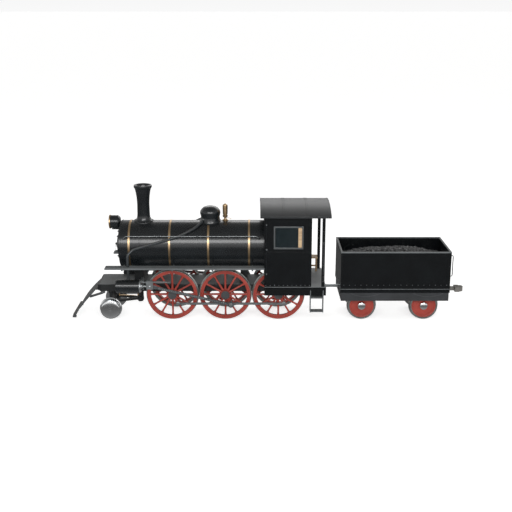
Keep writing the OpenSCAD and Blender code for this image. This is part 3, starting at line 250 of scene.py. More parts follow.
def repeated(name, master, matrices):
    """A master piece copied to each matrix, all joined as one mesh; the master goes."""
    copies = [copied(master, f"{name}.{i}", matrix) for i, matrix in enumerate(matrices)]
    bpy.data.objects.remove(master)
    return joined(name, copies)


MIRROR = Matrix.Scale(-1, 4, (0, 1, 0))


def both_sides(piece):
    """The piece with its mirror image on the engine's other side."""
    return joined(piece.name, [piece, copied(piece, piece.name + ".other", MIRROR)])


def fitted(piece, body, slot, material, *nodes, angle=38):
    """Gives a piece its material and shading, hangs it on the body it rides on, and hides the
    imported parts it stands for.
    """
    alone(piece)
    bpy.ops.object.shade_smooth_by_angle(angle=math.radians(angle))
    modified(piece, "WEIGHTED_NORMAL", keep_sharp=True)
    piece.data.materials.clear()
    piece.data.materials.append(material)
    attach(piece, body)
    if nodes:
        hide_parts(*nodes)
    return piece


# Gloss black enamel: deep blue-black, mirror-like under a soft sky, faintly wavy over the sheets.
gloss_black = painted("gloss_black_enamel", "#171b1e", "#111416", 0.26, 0.30, peel_mm=60.0,
                      peel=0.08, dusty=0.035)

low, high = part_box("boiler_barrel")
boiler_r = (high.y - low.y) / 2
boiler_z = (low.z + high.z) / 2
barrel = turned("barrel_cladding", "X", (0, 0, boiler_z), [
    (low.x, 0), (low.x, boiler_r - 0.004), (low.x + 0.004, boiler_r), (high.x - 0.004, boiler_r),
    (high.x, boiler_r - 0.004), (high.x, 0)], steps=160)
fitted(barrel, "engine", "gloss_black", gloss_black, "boiler_barrel")

# ---------------------------------------------------------------------------------------------
# Brass bands
# Thin rolled brass strips round the cladding, each drawn tight by a bolt through two lugs below.
# ---------------------------------------------------------------------------------------------


def metal(name, colour, dark, roughness, grain, soiled=0.35, soil_scale=5.0, streak=0.10):
    """Bare worked metal: fine tool streaks along the grain, and thin old oil in patches."""
    material, tree, shader, place = surface(name)
    along = add(tree, "Mapping", {"Vector": place.outputs["Object"], "Scale": grain})
    streaks = add(tree, "TexNoise", {"Vector": along.outputs["Vector"], "Scale": 1.0,
                                     "Detail": 3.0})
    patches = add(tree, "TexNoise", {"Vector": place.outputs["Object"], "Scale": soil_scale,
                                     "Detail": 7.0, "Roughness": 0.65})
    oil = add(tree, "MapRange", {"Value": patches.outputs["Fac"], "From Min": 0.42,
                                 "From Max": 0.72, "To Max": soiled})
    shade = add(tree, "Mix", {"Factor": oil.outputs["Result"], "A": srgb(colour), "B": srgb(dark)},
                data_type="RGBA")
    worn = add(tree, "MapRange", {"Value": streaks.outputs["Fac"], "From Min": 0.3, "From Max": 0.7,
                                  "To Min": roughness * 0.7, "To Max": roughness * 1.3})
    bump = add(tree, "Bump", {"Height": streaks.outputs["Fac"], "Strength": streak,
                              "Distance": 0.0008})
    shader.inputs["Metallic"].default_value = 1.0
    linked(tree, shader, shade.outputs["Result"], worn.outputs["Result"], bump.outputs["Normal"])
    return material


# Polished brass, a little tarnished: warm yellow with browner patches, streaks round the boiler.
brass = metal("polished_brass", "#cdb08a", "#8f7250", 0.36, (300.0, 12.0, 12.0), soiled=0.4)

low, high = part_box("boiler_bands")
band_r = high.z - boiler_z
band_w = 0.055
band_half = band_w / 2
under = boiler_r + 0.0006
bands = [turned(f"band.{x}", "X", (x, 0, boiler_z), [
    (-band_half, under), (-band_half, band_r - 0.003), (-band_half + 0.005, band_r),
    (band_half - 0.005, band_r), (band_half, band_r - 0.003), (band_half, under),
    (-band_half, under)], steps=160) for x in (low.x + band_half, -2.715, -1.660,
                                               high.x - band_half)]
fitted(joined("brass_bands", bands), "engine", "brass", brass, "boiler_bands")

# ---------------------------------------------------------------------------------------------
# Smokebox
# The boiler's front drum: a bare rolled shell, riveted to a front plate and to the barrel.
# Snap-head rivets run round both ends, and bolts hold the ring that the door shuts against.
# ---------------------------------------------------------------------------------------------
low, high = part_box("smokebox")
ring_x = low.x + 0.046
plate_x = ring_x + 0.034
front_x = plate_x + 0.016
door_r = 0.400
shell = turned("smokebox_shell", "X", (0, 0, boiler_z), [
    (plate_x + 0.016, 0), (plate_x, 0.30), (ring_x, door_r - 0.02), (ring_x, door_r + 0.018),
    (ring_x + 0.006, door_r + 0.022), (plate_x, door_r + 0.022), (plate_x, boiler_r - 0.026),
    (plate_x + 0.012, boiler_r - 0.014), (front_x, boiler_r - 0.014), (front_x, boiler_r - 0.004),
    (front_x + 0.004, boiler_r), (high.x, boiler_r), (high.x, 0)], steps=160)


def rivet(name, radius, height, axis):
    """A snap-head rivet on a plate facing along axis: a cylinder whose top is drawn in."""
    bpy.ops.object.select_all(action="DESELECT")
    bpy.ops.mesh.primitive_cylinder_add(vertices=8, radius=radius, depth=height * 0.5,
                                        location=(0, 0, height * 0.25))
    head = named(name)
    inset = (bpy.ops.mesh.inset, {"thickness": radius * 0.45, "depth": height * 0.5})
    shape(head, "FACE", lambda place, normal: normal.z > 0.9, inset)
    head.data.transform(Vector((0, 0, 1)).rotation_difference(Vector(axis)).to_matrix().to_4x4())
    return head


def at(x, y, z):
    """A move to a place."""
    return Matrix.Translation((x, y, z))


def about(axis, degrees):
    """A turn about one of the axes."""
    return Matrix.Rotation(math.radians(degrees), 4, axis)


def round_x(count, radius, x):
    """Places round the boiler's axis, each turned to face away from it."""
    return [at(x, 0, boiler_z) @ about("X", i * 360 / count) @ at(0, 0, radius)
            for i in range(count)]


shell_rivets = repeated("smokebox_rivets", rivet("shell_rivet", 0.011, 0.008, (0, 0, 1)),
                        round_x(64, boiler_r, front_x + 0.04) + round_x(64, boiler_r,
                                                                        high.x - 0.03))
plate_rivets = repeated("plate_rivets", rivet("plate_rivet", 0.011, 0.008, (-1, 0, 0)),
                        round_x(48, boiler_r - 0.055, plate_x))


def hex_bolt(name, across, height, axis):
    """A hexagon bolt head with a chamfered top."""
    bpy.ops.object.select_all(action="DESELECT")
    bpy.ops.mesh.primitive_cylinder_add(vertices=6, radius=across / 2, depth=height,
                                        location=(0, 0, height / 2))
    head = named(name)
    rim = (bpy.ops.mesh.bevel, {"offset": across * 0.06, "segments": 1})
    shape(head, "EDGE", lambda a, b: min(a.z, b.z) > height * 0.9, rim)
    head.data.transform(Vector((0, 0, 1)).rotation_difference(Vector(axis)).to_matrix().to_4x4())
    return head


def block(name, low, high, bevel=0.004, segments=2):
    """A cube between two corners with every edge rounded."""
    low, high = Vector(low), Vector(high)
    bpy.ops.object.select_all(action="DESELECT")
    bpy.ops.mesh.primitive_cube_add(size=1, location=(low + high) / 2, scale=high - low)
    piece = named(name)
    return shape(piece, "EDGE", lambda a, b: True,
                 (bpy.ops.mesh.bevel, {"offset": bevel, "segments": segments}))


hinge_x, hinge_y = ring_x - 0.046, 0.452
hinge_offsets = (-0.170, 0.170)
posts = [block(f"post.{z}", (hinge_x - 0.028, hinge_y - 0.026, boiler_z + z - 0.066),
               (plate_x + 0.004, hinge_y + 0.026, boiler_z + z - 0.034)) for z in hinge_offsets]
shell = joined("smokebox_shell", [shell, shell_rivets, plate_rivets] + posts)
fitted(shell, "engine", "gloss_black", gloss_black, "smokebox")

# ---------------------------------------------------------------------------------------------
# Smokebox door
# A pressed steel dish hung on two straps, pulled tight by a central dart with two handles and
# held round its rim by bolted clamps, with the hinge straps in place of two of them.
# ---------------------------------------------------------------------------------------------
face_x = ring_x - 0.002
bulge = 0.078
dish_steps = 10
dish = [(face_x - 0.012 - bulge * math.cos(math.pi / 2 * i / dish_steps),
         (door_r - 0.022) * i / dish_steps)
        for i in range(dish_steps + 1)]
door = turned("door_dish", "X", (0, 0, boiler_z), dish + [
    (face_x - 0.016, door_r - 0.020), (face_x - 0.018, door_r - 0.006), (face_x - 0.012, door_r),
    (face_x, door_r), (face_x, 0)], steps=96)


def dish_depth(radius):
    """How far the dished face stands in front of the door's back at a distance from its middle."""
    return 0.012 + bulge * math.cos(math.pi / 2 * min(1.0, radius / (door_r - 0.022)))


straps = []
for z in hinge_offsets:
    strap = block(f"strap.{z}", (-0.006, 0.03, boiler_z + z - 0.028),
                  (0.006, hinge_y, boiler_z + z + 0.028), 0.002, 1)
    cuts = (bpy.ops.mesh.subdivide, {"number_cuts": 12})
    shape(strap, "EDGE", lambda a, b: abs(a.y - b.y) > 0.2, cuts)
    for corner in strap.data.vertices:
        radius = math.hypot(corner.co.y, z)
        depth = dish_depth(radius) if radius < door_r else 0.022
        corner.co.x += face_x - depth - 0.004
    straps.append(strap)
    straps.append(turned(f"knuckle.{z}", "Z", (hinge_x, hinge_y, boiler_z + z), [
        (-0.030, 0), (-0.030, 0.022), (-0.026, 0.025), (0.026, 0.025), (0.030, 0.022), (0.030, 0)],
        steps=24))
    straps.append(turned(f"hinge_pin.{z}", "Z", (hinge_x, hinge_y, boiler_z + z), [
        (-0.072, 0), (-0.072, 0.0128), (0.030, 0.0128), (0.030, 0.018), (0.036, 0.018),
        (0.040, 0.010), (0.040, 0)], steps=20))
    straps.append(repeated(f"strap_bolts.{z}", hex_bolt("strap_bolt", 0.022, 0.010, (-1, 0, 0)), [
        at(face_x - dish_depth(math.hypot(y, z)) - 0.009, y, boiler_z + z) for y in (0.07, 0.15,
                                                                                     0.23)]))
hub = turned("dart_hub", "X", (0, 0, boiler_z), [
    (face_x - 0.080, 0), (face_x - 0.080, 0.050), (face_x - 0.096, 0.048), (face_x - 0.100, 0.030),
    (face_x - 0.136, 0.028), (face_x - 0.138, 0.018), (face_x - 0.138, 0)], steps=32)
door = joined("smokebox_door_dish", [door, hub] + straps)
fitted(door, "smokebox_door", "gloss_black", gloss_black, "smokebox_door")

# Bright steel, turned and kept oiled: light grey with fine streaks and thin brown patches.
bright_steel = metal("oiled_bright_steel", "#d6d9da", "#8b8882", 0.30, (14.0, 160.0, 160.0),
                     soiled=0.45)

clamps = []
for i in (0, 1, 2, 3, 4, 5, 6, 7, 10, 11):
    turn = at(0, 0, boiler_z) @ about("X", 15 + 30 * i)
    lug = block(f"lug.{i}", (face_x - 0.034, -0.018, door_r - 0.030), (face_x - 0.012, 0.018,
                                                                       door_r + 0.016), 0.004)
    lug.data.transform(turn)
    nut = hex_bolt(f"lug_nut.{i}", 0.030, 0.018, (-1, 0, 0))
    nut.data.transform(turn @ at(face_x - 0.034, 0, door_r - 0.008))
    clamps += [lug, nut]
clamps = joined("smokebox_door_clamps", clamps)
fitted(clamps, "smokebox_door", "gloss_black", gloss_black)


def tube(name, points, radius, bend=0.0, sides=4, corners=6):
    """A round bar or pipe along a drawn line, its corners rounded, closed at both ends."""
    line = drawn(name, points)
    if bend:
        ends = {tuple(round(c, 4) for c in points[0]), tuple(round(c, 4) for c in points[-1])}
        rounding = (bpy.ops.mesh.bevel, {"offset": bend, "segments": corners, "affect": "VERTICES"})
        shape(line, "VERT", lambda place: tuple(round(c, 4) for c in place) not in ends, rounding)
    alone(line)
    bpy.ops.object.convert(target="CURVE")
    line.data.bevel_depth = radius
    line.data.bevel_resolution = sides
    line.data.use_fill_caps = True
    bpy.ops.object.convert(target="MESH")
    pipe = bpy.context.object
    pipe.name = name
    merge = (bpy.ops.mesh.remove_doubles, {"threshold": 0.00002})
    outward = (bpy.ops.mesh.normals_make_consistent, {"inside": False})
    return shape(pipe, "VERT", lambda place: True, merge, outward)


handle_x = face_x - 0.128
handles = []
for reach, degrees, x in ((0.20, 200, handle_x), (0.17, 140, handle_x + 0.016)):
    turn = math.radians(degrees)
    handles.append(tube("dart_handle", [
        (x, 0, boiler_z), (x, reach * math.sin(turn), boiler_z + reach * math.cos(turn))], 0.009))
fitted(joined("smokebox_door_handles", handles), "smokebox_door", "bright_steel", bright_steel)

# ---------------------------------------------------------------------------------------------
# Chimney
# A cast stack with a flared rim on a saddle flange that is bolted over the smokebox's top.
# Its bore stays open.
# ---------------------------------------------------------------------------------------------
crown = boiler_z + boiler_r


def saddled(piece, top):
    """Draws a piece's foot down over the boiler: full at the flange, fading out at a height."""
    for corner in piece.data.vertices:
        share = max(0.0, min(1.0, (top - corner.co.z) / (top - crown)))
        drop = boiler_r - math.sqrt(boiler_r ** 2 - min(corner.co.y, 0.5) ** 2)
        corner.co.z -= drop * share * share
    return piece


low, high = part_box("chimney")
stack_x = (low.x + high.x) / 2
flange_r = (high.x - low.x) / 2
rim_r, neck_r, bore_r = 0.247, 0.168, 0.120
stack_steps = 12
foot = [(crown + 0.028 + 0.20 * t ** 1.3, neck_r + 0.004
         + (flange_r - 0.040 - neck_r) * (1 - t) ** 2.6)
        for t in [i / stack_steps for i in range(stack_steps + 1)]]
flare = [(crown + 0.42 + (high.z - 0.09 - crown - 0.42) * t,
          neck_r + (rim_r - 0.024 - neck_r) * t ** 2.4)
         for t in [i / stack_steps for i in range(stack_steps + 1)]]
stack = turned("chimney_stack", "Z", (stack_x, 0, 0), [
    (crown + 0.001, bore_r), (crown + 0.001, flange_r), (crown + 0.018, flange_r),
    (crown + 0.026, flange_r - 0.008)]
    + foot + flare + [
    (high.z - 0.080, rim_r - 0.010), (high.z - 0.066, rim_r - 0.001), (high.z - 0.050, rim_r),
    (high.z - 0.016, rim_r),
    (high.z - 0.004, rim_r - 0.006), (high.z, rim_r - 0.016), (high.z - 0.002, rim_r - 0.036),
    (high.z - 0.030, rim_r - 0.060), (high.z - 0.090, bore_r + 0.050),
    (high.z - 0.240, bore_r + 0.020), (high.z - 0.420, bore_r), (crown + 0.001, bore_r)], steps=72)
saddled(stack, crown + 0.26)
bolt_ring = 0.250
bolt_places = []
for turn in [math.radians(15 + 30 * i) for i in range(12)]:
    y = bolt_ring * math.sin(turn)
    z = crown + 0.020 - boiler_r + math.sqrt(boiler_r ** 2 - y ** 2)
    bolt_places.append(at(stack_x + bolt_ring * math.cos(turn), y, z))
bolts = repeated("chimney_bolts", hex_bolt("flange_bolt", 0.026, 0.014, (0, 0, 1)), bolt_places)
stack = joined("chimney_stack", [stack, bolts])
fitted(stack, "engine", "gloss_black", gloss_black, "chimney")

# ---------------------------------------------------------------------------------------------
# Steam dome
# A spun cover with a domed top over the steam collector, its skirt flared out over the boiler.
# ---------------------------------------------------------------------------------------------
low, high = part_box("steam_dome")
dome_x = (low.x + high.x) / 2
skirt_r = (high.x - low.x) / 2
dome_r = 0.280
cap = 0.190
cap_steps = 12
waist_r = 0.256
skirt = [(crown + 0.018 + 0.10 * t, waist_r + (skirt_r - 0.010 - waist_r) * (1 - t) ** 1.9)
         for t in [i / 8 for i in range(9)]]
crown_arc = [(high.z - cap + cap * math.sin(t), dome_r * math.cos(t) ** 0.86)
             for t in [math.pi / 2 * i / cap_steps for i in range(-2, cap_steps)]]
dome = turned("steam_dome_cover", "Z", (dome_x, 0, 0), [
    (crown + 0.001, 0), (crown + 0.001, skirt_r), (crown + 0.014, skirt_r)] + skirt + crown_arc
    + [(high.z, 0)], steps=80)
saddled(dome, crown + 0.18)
fitted(dome, "engine", "gloss_black", gloss_black, "steam_dome")

# ---------------------------------------------------------------------------------------------
# Whistle
# Turned brass on a short stem: a valve body, the bell with its slot, and an acorn nut on top.
# ---------------------------------------------------------------------------------------------
low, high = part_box("whistle")
whistle_x = (low.x + high.x) / 2
base = low.z
whistle = turned("whistle_bell", "Z", (whistle_x, 0, 0), [
    (base + 0.002, 0), (base + 0.002, 0.078), (base + 0.020, 0.078), (base + 0.028, 0.070),
    (base + 0.034, 0.044),
    (base + 0.050, 0.036), (base + 0.088, 0.036), (base + 0.096, 0.046), (base + 0.104, 0.066),
    (base + 0.114, 0.072),
    (base + 0.150, 0.072), (base + 0.154, 0.066), (base + 0.160, 0.050), (base + 0.176, 0.050),
    (base + 0.182, 0.068),
    (base + 0.296, 0.070), (base + 0.312, 0.066), (base + 0.320, 0.070), (base + 0.334, 0.072),
    (base + 0.424, 0.070),
    (base + 0.444, 0.062), (base + 0.456, 0.044), (base + 0.460, 0.024), (base + 0.470, 0.022),
    (base + 0.478, 0.014), (base + 0.480, 0)], steps=40)
lever = tube("whistle_lever", [(whistle_x, 0, base + 0.070), (whistle_x + 0.11, 0, base + 0.070),
                               (whistle_x + 0.17, 0, base + 0.045)], 0.008, bend=0.02)
foot_nuts = repeated("whistle_nuts", hex_bolt("whistle_nut", 0.022, 0.012, (0, 0, 1)), [
    at(whistle_x + 0.060 * math.cos(a), 0.060 * math.sin(a), base + 0.018)
    for a in [math.radians(45 + 90 * i) for i in range(4)]])
whistle = joined("brass_whistle", [whistle, lever, foot_nuts])
fitted(whistle, "engine", "brass", brass, "whistle")

# ---------------------------------------------------------------------------------------------
# Headlamp
# A black sheet drum with a brass front ring, a domed glass and a silvered reflector round a burner.
# ---------------------------------------------------------------------------------------------
low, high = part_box("headlamp")
lamp_z = (low.z + high.z) / 2
lamp_r = (high.z - low.z) / 2
drum_r = lamp_r - 0.013
drum = turned("lamp_drum", "X", (0, 0, lamp_z), [
    (low.x + 0.030, lamp_r - 0.040), (low.x + 0.030, drum_r), (high.x - 0.060, drum_r),
    (high.x - 0.046, drum_r - 0.004),
    (high.x - 0.006, lamp_r - 0.052), (high.x, lamp_r - 0.070), (high.x, 0), (high.x - 0.010, 0),
    (high.x - 0.020, lamp_r - 0.080), (high.x - 0.060, lamp_r - 0.030),
    (low.x + 0.030, lamp_r - 0.040)], steps=72)
seam = repeated("lamp_seam", rivet("lamp_rivet", 0.006, 0.005, (0, 0, 1)), [
    at(high.x - 0.075, 0, lamp_z) @ about("X", 15 * i)
    @ at(0, 0, drum_r) for i in range(24)])
drum = joined("headlamp_drum", [drum, seam])
fitted(drum, "engine", "gloss_black", gloss_black, "headlamp")
ring = turned("headlamp_ring", "X", (0, 0, lamp_z), [
    (low.x + 0.040, drum_r + 0.001), (low.x + 0.040, lamp_r - 0.002), (low.x + 0.034, lamp_r),
    (low.x + 0.008, lamp_r),
    (low.x + 0.001, lamp_r - 0.008), (low.x, lamp_r - 0.018), (low.x + 0.006, lamp_r - 0.034),
    (low.x + 0.030, lamp_r - 0.040), (low.x + 0.040, drum_r + 0.001)], steps=72)
fitted(ring, "engine", "brass", brass)

# Silvered copper, polished: a clean mirror with the faintest spinning marks.
silvered = metal("silvered_reflector", "#e8eaec", "#b9b7b0", 0.10, (160.0, 20.0, 20.0), soiled=0.15)
bowl = turned("headlamp_reflector", "X", (0, 0, lamp_z), [
    (low.x + 0.032 + 0.150 * (1 - (t / 10) ** 2), (lamp_r - 0.044) * t / 10) for t in range(11)]
    + [(low.x + 0.037 + 0.150 * (1 - (t / 10) ** 2), (lamp_r - 0.043) * t / 10)
       for t in range(10, -1, -1)], steps=48)
burner = turned("headlamp_burner", "X", (0, 0, lamp_z), [
    (low.x + 0.060, 0), (low.x + 0.066, 0.016), (low.x + 0.084, 0.026), (low.x + 0.110, 0.022),
    (low.x + 0.120, 0.014), (low.x + 0.178, 0.014), (low.x + 0.178, 0)], steps=24)
fitted(joined("headlamp_reflector", [bowl, burner]), "engine", "rail_steel", silvered)

# Window glass: faintly green, thin, with a trace of dust that softens its reflections.
clear_glass, tree, shader, place = surface("lamp_glass")
smear = add(tree, "TexNoise", {"Vector": place.outputs["Object"], "Scale": 9.0, "Detail": 5.0})
smudge = add(tree, "MapRange", {"Value": smear.outputs["Fac"], "From Min": 0.4, "From Max": 0.8,
                                "To Min": 0.02, "To Max": 0.18})
tint = add(tree, "Mix", {"Factor": smear.outputs["Fac"], "A": srgb("#eef2f0"),
                         "B": srgb("#dde5e2")}, data_type="RGBA")
linked(tree, shader, tint.outputs["Result"], smudge.outputs["Result"])
shader.inputs["Transmission Weight"].default_value = 1.0
shader.inputs["IOR"].default_value = 1.5
lens = turned("headlamp_lens", "X", (0, 0, lamp_z), [
    (low.x + 0.006 + 0.020 * (t / 10) ** 2, (lamp_r - 0.042) * t / 10) for t in range(11)]
    + [(low.x + 0.010 + 0.020 * (t / 10) ** 2, (lamp_r - 0.043) * t / 10) for t in range(10, -1,
        -1)], steps=56)
fitted(lens, "engine", "glass", clear_glass)

# ---------------------------------------------------------------------------------------------
# Steam pipes
# Wrought pipes from the dome's foot down the boiler's flanks to the cylinders, lagged and bound
# with cord that shows as close ribs under black paint.
# ---------------------------------------------------------------------------------------------
pipe_paint = painted("lagging_paint", "#363b3e", "#25292b", 0.36, 0.20, peel_mm=14.0, peel=0.3)
low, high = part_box("steam_pipes")
pipe_r = 0.035
pipe_turn = boiler_r + 0.008 + 0.006 + pipe_r
pipe_route = [(-1.868, 23), (-2.018, 39), (-2.230, 50), (-2.416, 58), (-2.738, 67), (-3.224, 78),
              (-3.577, 86), (-3.700, 89.5)]
cylinder_y = 0.795
cylinder_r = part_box("cylinders")[1].y - cylinder_y
cylinder_z = 1.027
drop_x = -3.835
route = [(dome_x - 0.20, 0.150, crown + 0.052)]
route += [(x, pipe_turn * math.sin(math.radians(a)),
           boiler_z + pipe_turn * math.cos(math.radians(a)))
          for x, a in pipe_route]
route += [(drop_x, cylinder_y, boiler_z - 0.130), (drop_x, cylinder_y, cylinder_z + cylinder_r
                                                   + 0.020)]
pipe = tube("steam_pipe", route, pipe_r, bend=0.07, sides=5, corners=8)


def along(points, step):
    """Places every step along a line of points, each turned to look down it."""
    places, spare = [], 0.0
    for here, there in zip(points, points[1:]):
        here, there = Vector(here), Vector(there)
        reach = (there - here).length
        way = (there - here).normalized()
        turn = Vector((0, 0, 1)).rotation_difference(way).to_matrix().to_4x4()
        gone = spare
        while gone < reach:
            places.append(Matrix.Translation(here + way * gone) @ turn)
            gone += step
        spare = gone - reach
    return places


rib = turned("rib", "Z", (0, 0, 0), [(-0.010, 0.031), (-0.006, 0.0392), (0.006, 0.0392),
                                     (0.010, 0.031), (-0.010, 0.031)], steps=14)
ribs = repeated("pipe_ribs", rib, along([Vector(p) for p in route[1:]], 0.045))
foot = turned("pipe_flange", "Z", (drop_x, cylinder_y, cylinder_z + cylinder_r), [
    (0.002, 0), (0.002, 0.061), (0.018, 0.061), (0.022, 0.057), (0.022, pipe_r + 0.006),
    (0.045, pipe_r + 0.002), (0.045, 0)], steps=32)
elbow = turned("dome_elbow", "X", (route[0][0], route[0][1], route[0][2]), [
    (0.05, 0), (0.05, 0.052), (0.0, 0.056), (-0.02, 0.052), (-0.03, 0.044), (-0.03, 0)], steps=28)
pipe = both_sides(joined("steam_pipes_lagged", [pipe, ribs, foot, elbow]))
fitted(pipe, "engine", "pipe_paint", pipe_paint, "steam_pipes")

# ---------------------------------------------------------------------------------------------
# Boiler handrails
# Bright drawn rods on turned steel pillars screwed into the boiler, their ends bent down.
# ---------------------------------------------------------------------------------------------
# Drawn steel rubbed bright by hands: pale and smooth, greyer near the pillars.
rail_steel = metal("hand_polished_steel", "#9da1a3", "#6d6c69", 0.28, (9.0, 120.0, 120.0),
                   soiled=0.3)
low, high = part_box("boiler_handrails")
rod_r = 0.013
rod_y = high.y - rod_r - 0.003
rod_z = high.z - rod_r - 0.003
rod_drop = 0.070
rod_ends = (-3.885, -0.335)
root_y = 0.50
rod = tube("handrail_rod", [
    (rod_ends[0] - rod_drop, root_y, rod_z - rod_drop), (rod_ends[0] - rod_drop, rod_y,
                                                         rod_z - rod_drop),
    (rod_ends[0], rod_y, rod_z), (rod_ends[1], rod_y, rod_z),
    (rod_ends[1] + rod_drop, rod_y, rod_z - rod_drop), (rod_ends[1] + rod_drop, root_y,
                                                        rod_z - rod_drop)],
    rod_r, bend=0.035, sides=3)
pillars = [turned(f"pillar.{x}", "Y", (x, 0, rod_z), [
    (0.53, 0), (0.53, 0.018), (rod_y - 0.026, 0.013), (rod_y - 0.020, 0.020), (rod_y, 0.026),
    (rod_y + 0.014, 0.020),
    (rod_y + 0.022, 0.008), (rod_y + 0.022, 0)], steps=20) for x in (-3.000, -1.950, -0.900)]
rod = both_sides(joined("boiler_handrail_rods", [rod] + pillars))
fitted(rod, "engine", "rail_steel", rail_steel, "boiler_handrails")

# ---------------------------------------------------------------------------------------------
# Frame, pilot and brackets
# Flame-cut and riveted steel plate under satin black paint; the pilot and the decks are grey.
# Every plate edge is broken with a file before painting.
# ---------------------------------------------------------------------------------------------


def bevelled(name, node, width=0.003, angle=32):
    """A copy of a plated part, its flat faces made whole and its sharp edges rounded."""
    copy = copied(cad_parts[node], name, Matrix.Identity(4))
    for key in list(copy.keys()):
        del copy[key]
    copy.parent = None
    merge = (bpy.ops.mesh.remove_doubles, {"threshold": 0.00002})
    whole = (bpy.ops.mesh.dissolve_limited, {"angle_limit": math.radians(0.6)})
    shape(copy, "VERT", lambda place: True, merge, whole)
    return modified(copy, "BEVEL", width=width, segments=2, limit_method="ANGLE",
                    angle_limit=math.radians(angle),
                    use_clamp_overlap=False, miter_outer="MITER_ARC")


# Satin black paint on plate: nearly flat sheen, dust on ledges, brush marks a few mm wide.
frame_paint = painted("satin_black_paint", "#1e2123", "#161819", 0.42, 0.06, dusty=0.25,
                      peel_mm=7.0, peel=0.25)
# Grey deck paint, trodden: soft sheen, cloudy with wear.
deck_paint = painted("grey_deck_paint", "#626668", "#525658", 0.52, 0.04, dust="#8a867d",
                     dusty=0.25, peel_mm=8.0, peel=0.3)
# Dark grey paint on the pilot, stone-chipped: duller and browner below.
pilot_paint = painted("dark_grey_paint", "#46494b", "#383a3b", 0.50, 0.05, dust="#857d70",
                      dusty=0.5, peel_mm=6.0, peel=0.3)
# Painted iron castings: a sandy skin with a grain of about three millimetres.
cast_paint = painted("painted_cast_iron", "#3b3d3e", "#2b2d2e", 0.6, 0.0, dusty=0.4, peel_mm=3.0,
                     peel=0.6)
# Raw sand-cast iron, handled: brown-grey and rough.
coupler_iron = painted("sand_cast_iron", "#7d7b77", "#5f5c58", 0.62, 0.0, dusty=0.3, peel_mm=3.0,
                       peel=0.7)

for name, node, body, slot, material, width in (
        ("frame_plates", "main_frame", "engine", "frame_paint", frame_paint, 0.003),
        ("front_buffer_beam", "front_beam", "engine", "frame_paint", frame_paint, 0.004),
        ("pilot_slats", "pilot", "engine", "pilot_paint", pilot_paint, 0.004),
        ("saddle_casting", "smokebox_saddle", "engine", "frame_paint", frame_paint, 0.006),
        ("boiler_stay", "boiler_bracket", "engine", "frame_paint", frame_paint, 0.004),
        ("lamp_stand", "lamp_bracket", "engine", "frame_paint", frame_paint, 0.002),
        ("running_board_plates", "running_boards", "engine", "deck_paint", deck_paint, 0.003),
        ("driver_axle_boxes", "axle_boxes", "engine", "cast_box", cast_paint, 0.004),
        ("pony_truck_casting", "pony_frame", "pony_truck", "frame_paint", frame_paint, 0.004),
        ("tender_frame_plates", "tender_frame", "tender", "frame_paint", frame_paint, 0.003)):
    fitted(bevelled(name, node, width), body, slot, material, node)


def rivets(name, radius, height, axis, places):
    """One snap-head rivet copied to each place on a plate."""
    return repeated(name, rivet(f"{name}.one", radius, height, axis),
                    [Matrix.Translation(place) for place in places])


def spaced(start, stop, step):
    """Even places from start to stop, as close to a step as will fit."""
    count = max(1, round((stop - start) / step))
    return [start + (stop - start) * i / count for i in range(count + 1)]


low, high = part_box("main_frame")
plate_y = 0.480
top_z, bottom_z = 0.987, 0.787
# The driven axles, front to back, the height of their centres, and where rivets keep clear.
driver_xs, driver_z = (-2.661, -1.204, 0.253), 0.727
pedestal_half = 0.20
cylinder_front, cylinder_rear = -4.14, -3.53
clear_xs = [x for x in spaced(low.x + 0.09, high.x - 0.09, 0.13)
            if not cylinder_front < x < cylinder_rear]
rivet_rows = [(x, -plate_y, top_z - 0.03) for x in clear_xs]
rivet_rows += [(x, -plate_y, bottom_z + 0.03) for x in clear_xs
               if not any(abs(x - axle_x) < pedestal_half for axle_x in driver_xs)]
plate_rivets = rivets("frame_rivets", 0.011, 0.007, (0, -1, 0), rivet_rows)
fitted(both_sides(plate_rivets), "engine", "frame_paint", frame_paint)

deck_split, deck_end, front_half = -4.110, -0.100, 0.496
deck = [block("front_deck", (low.x + 0.002, -front_half, top_z - 0.002),
              (deck_split, front_half, top_z + 0.006), 0.002, 1),
        block("long_deck", (deck_split, -plate_y + 0.004, top_z - 0.002),
              (deck_end, plate_y - 0.004, top_z + 0.005), 0.002, 1)]
fitted(joined("frame_deck_plates", deck), "engine", "deck_paint", deck_paint)

beam_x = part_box("front_beam")[0].x
beam_bolts = repeated("front_beam_bolts", hex_bolt("beam_bolt", 0.034, 0.016, (-1, 0, 0)), [
    at(beam_x, y, z) for y in (-0.45, -0.36, 0.36, 0.45) for z in (0.955, 0.855)])
fitted(beam_bolts, "engine", "frame_paint", frame_paint)

low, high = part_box("running_boards")
edge_z = 1.5565
edge = rivets("running_board_rivets", 0.008, 0.004, (0, -1, 0),
              [(x, low.y, edge_z) for x in spaced(low.x + 0.06, high.x - 0.06, 0.16)])
fitted(both_sides(edge), "engine", "deck_paint", deck_paint)
tread_pitch = 0.045
treads = [block("tread", (low.x + 0.04, y - 0.005, high.z - 0.002), (high.x - 0.02, y + 0.005,
                                                                     high.z + 0.004), 0.002, 1)
          for y in [low.y + tread_pitch + tread_pitch * i for i in range(5)]]
fitted(both_sides(joined("running_board_treads", treads)), "engine", "deck_paint", deck_paint)

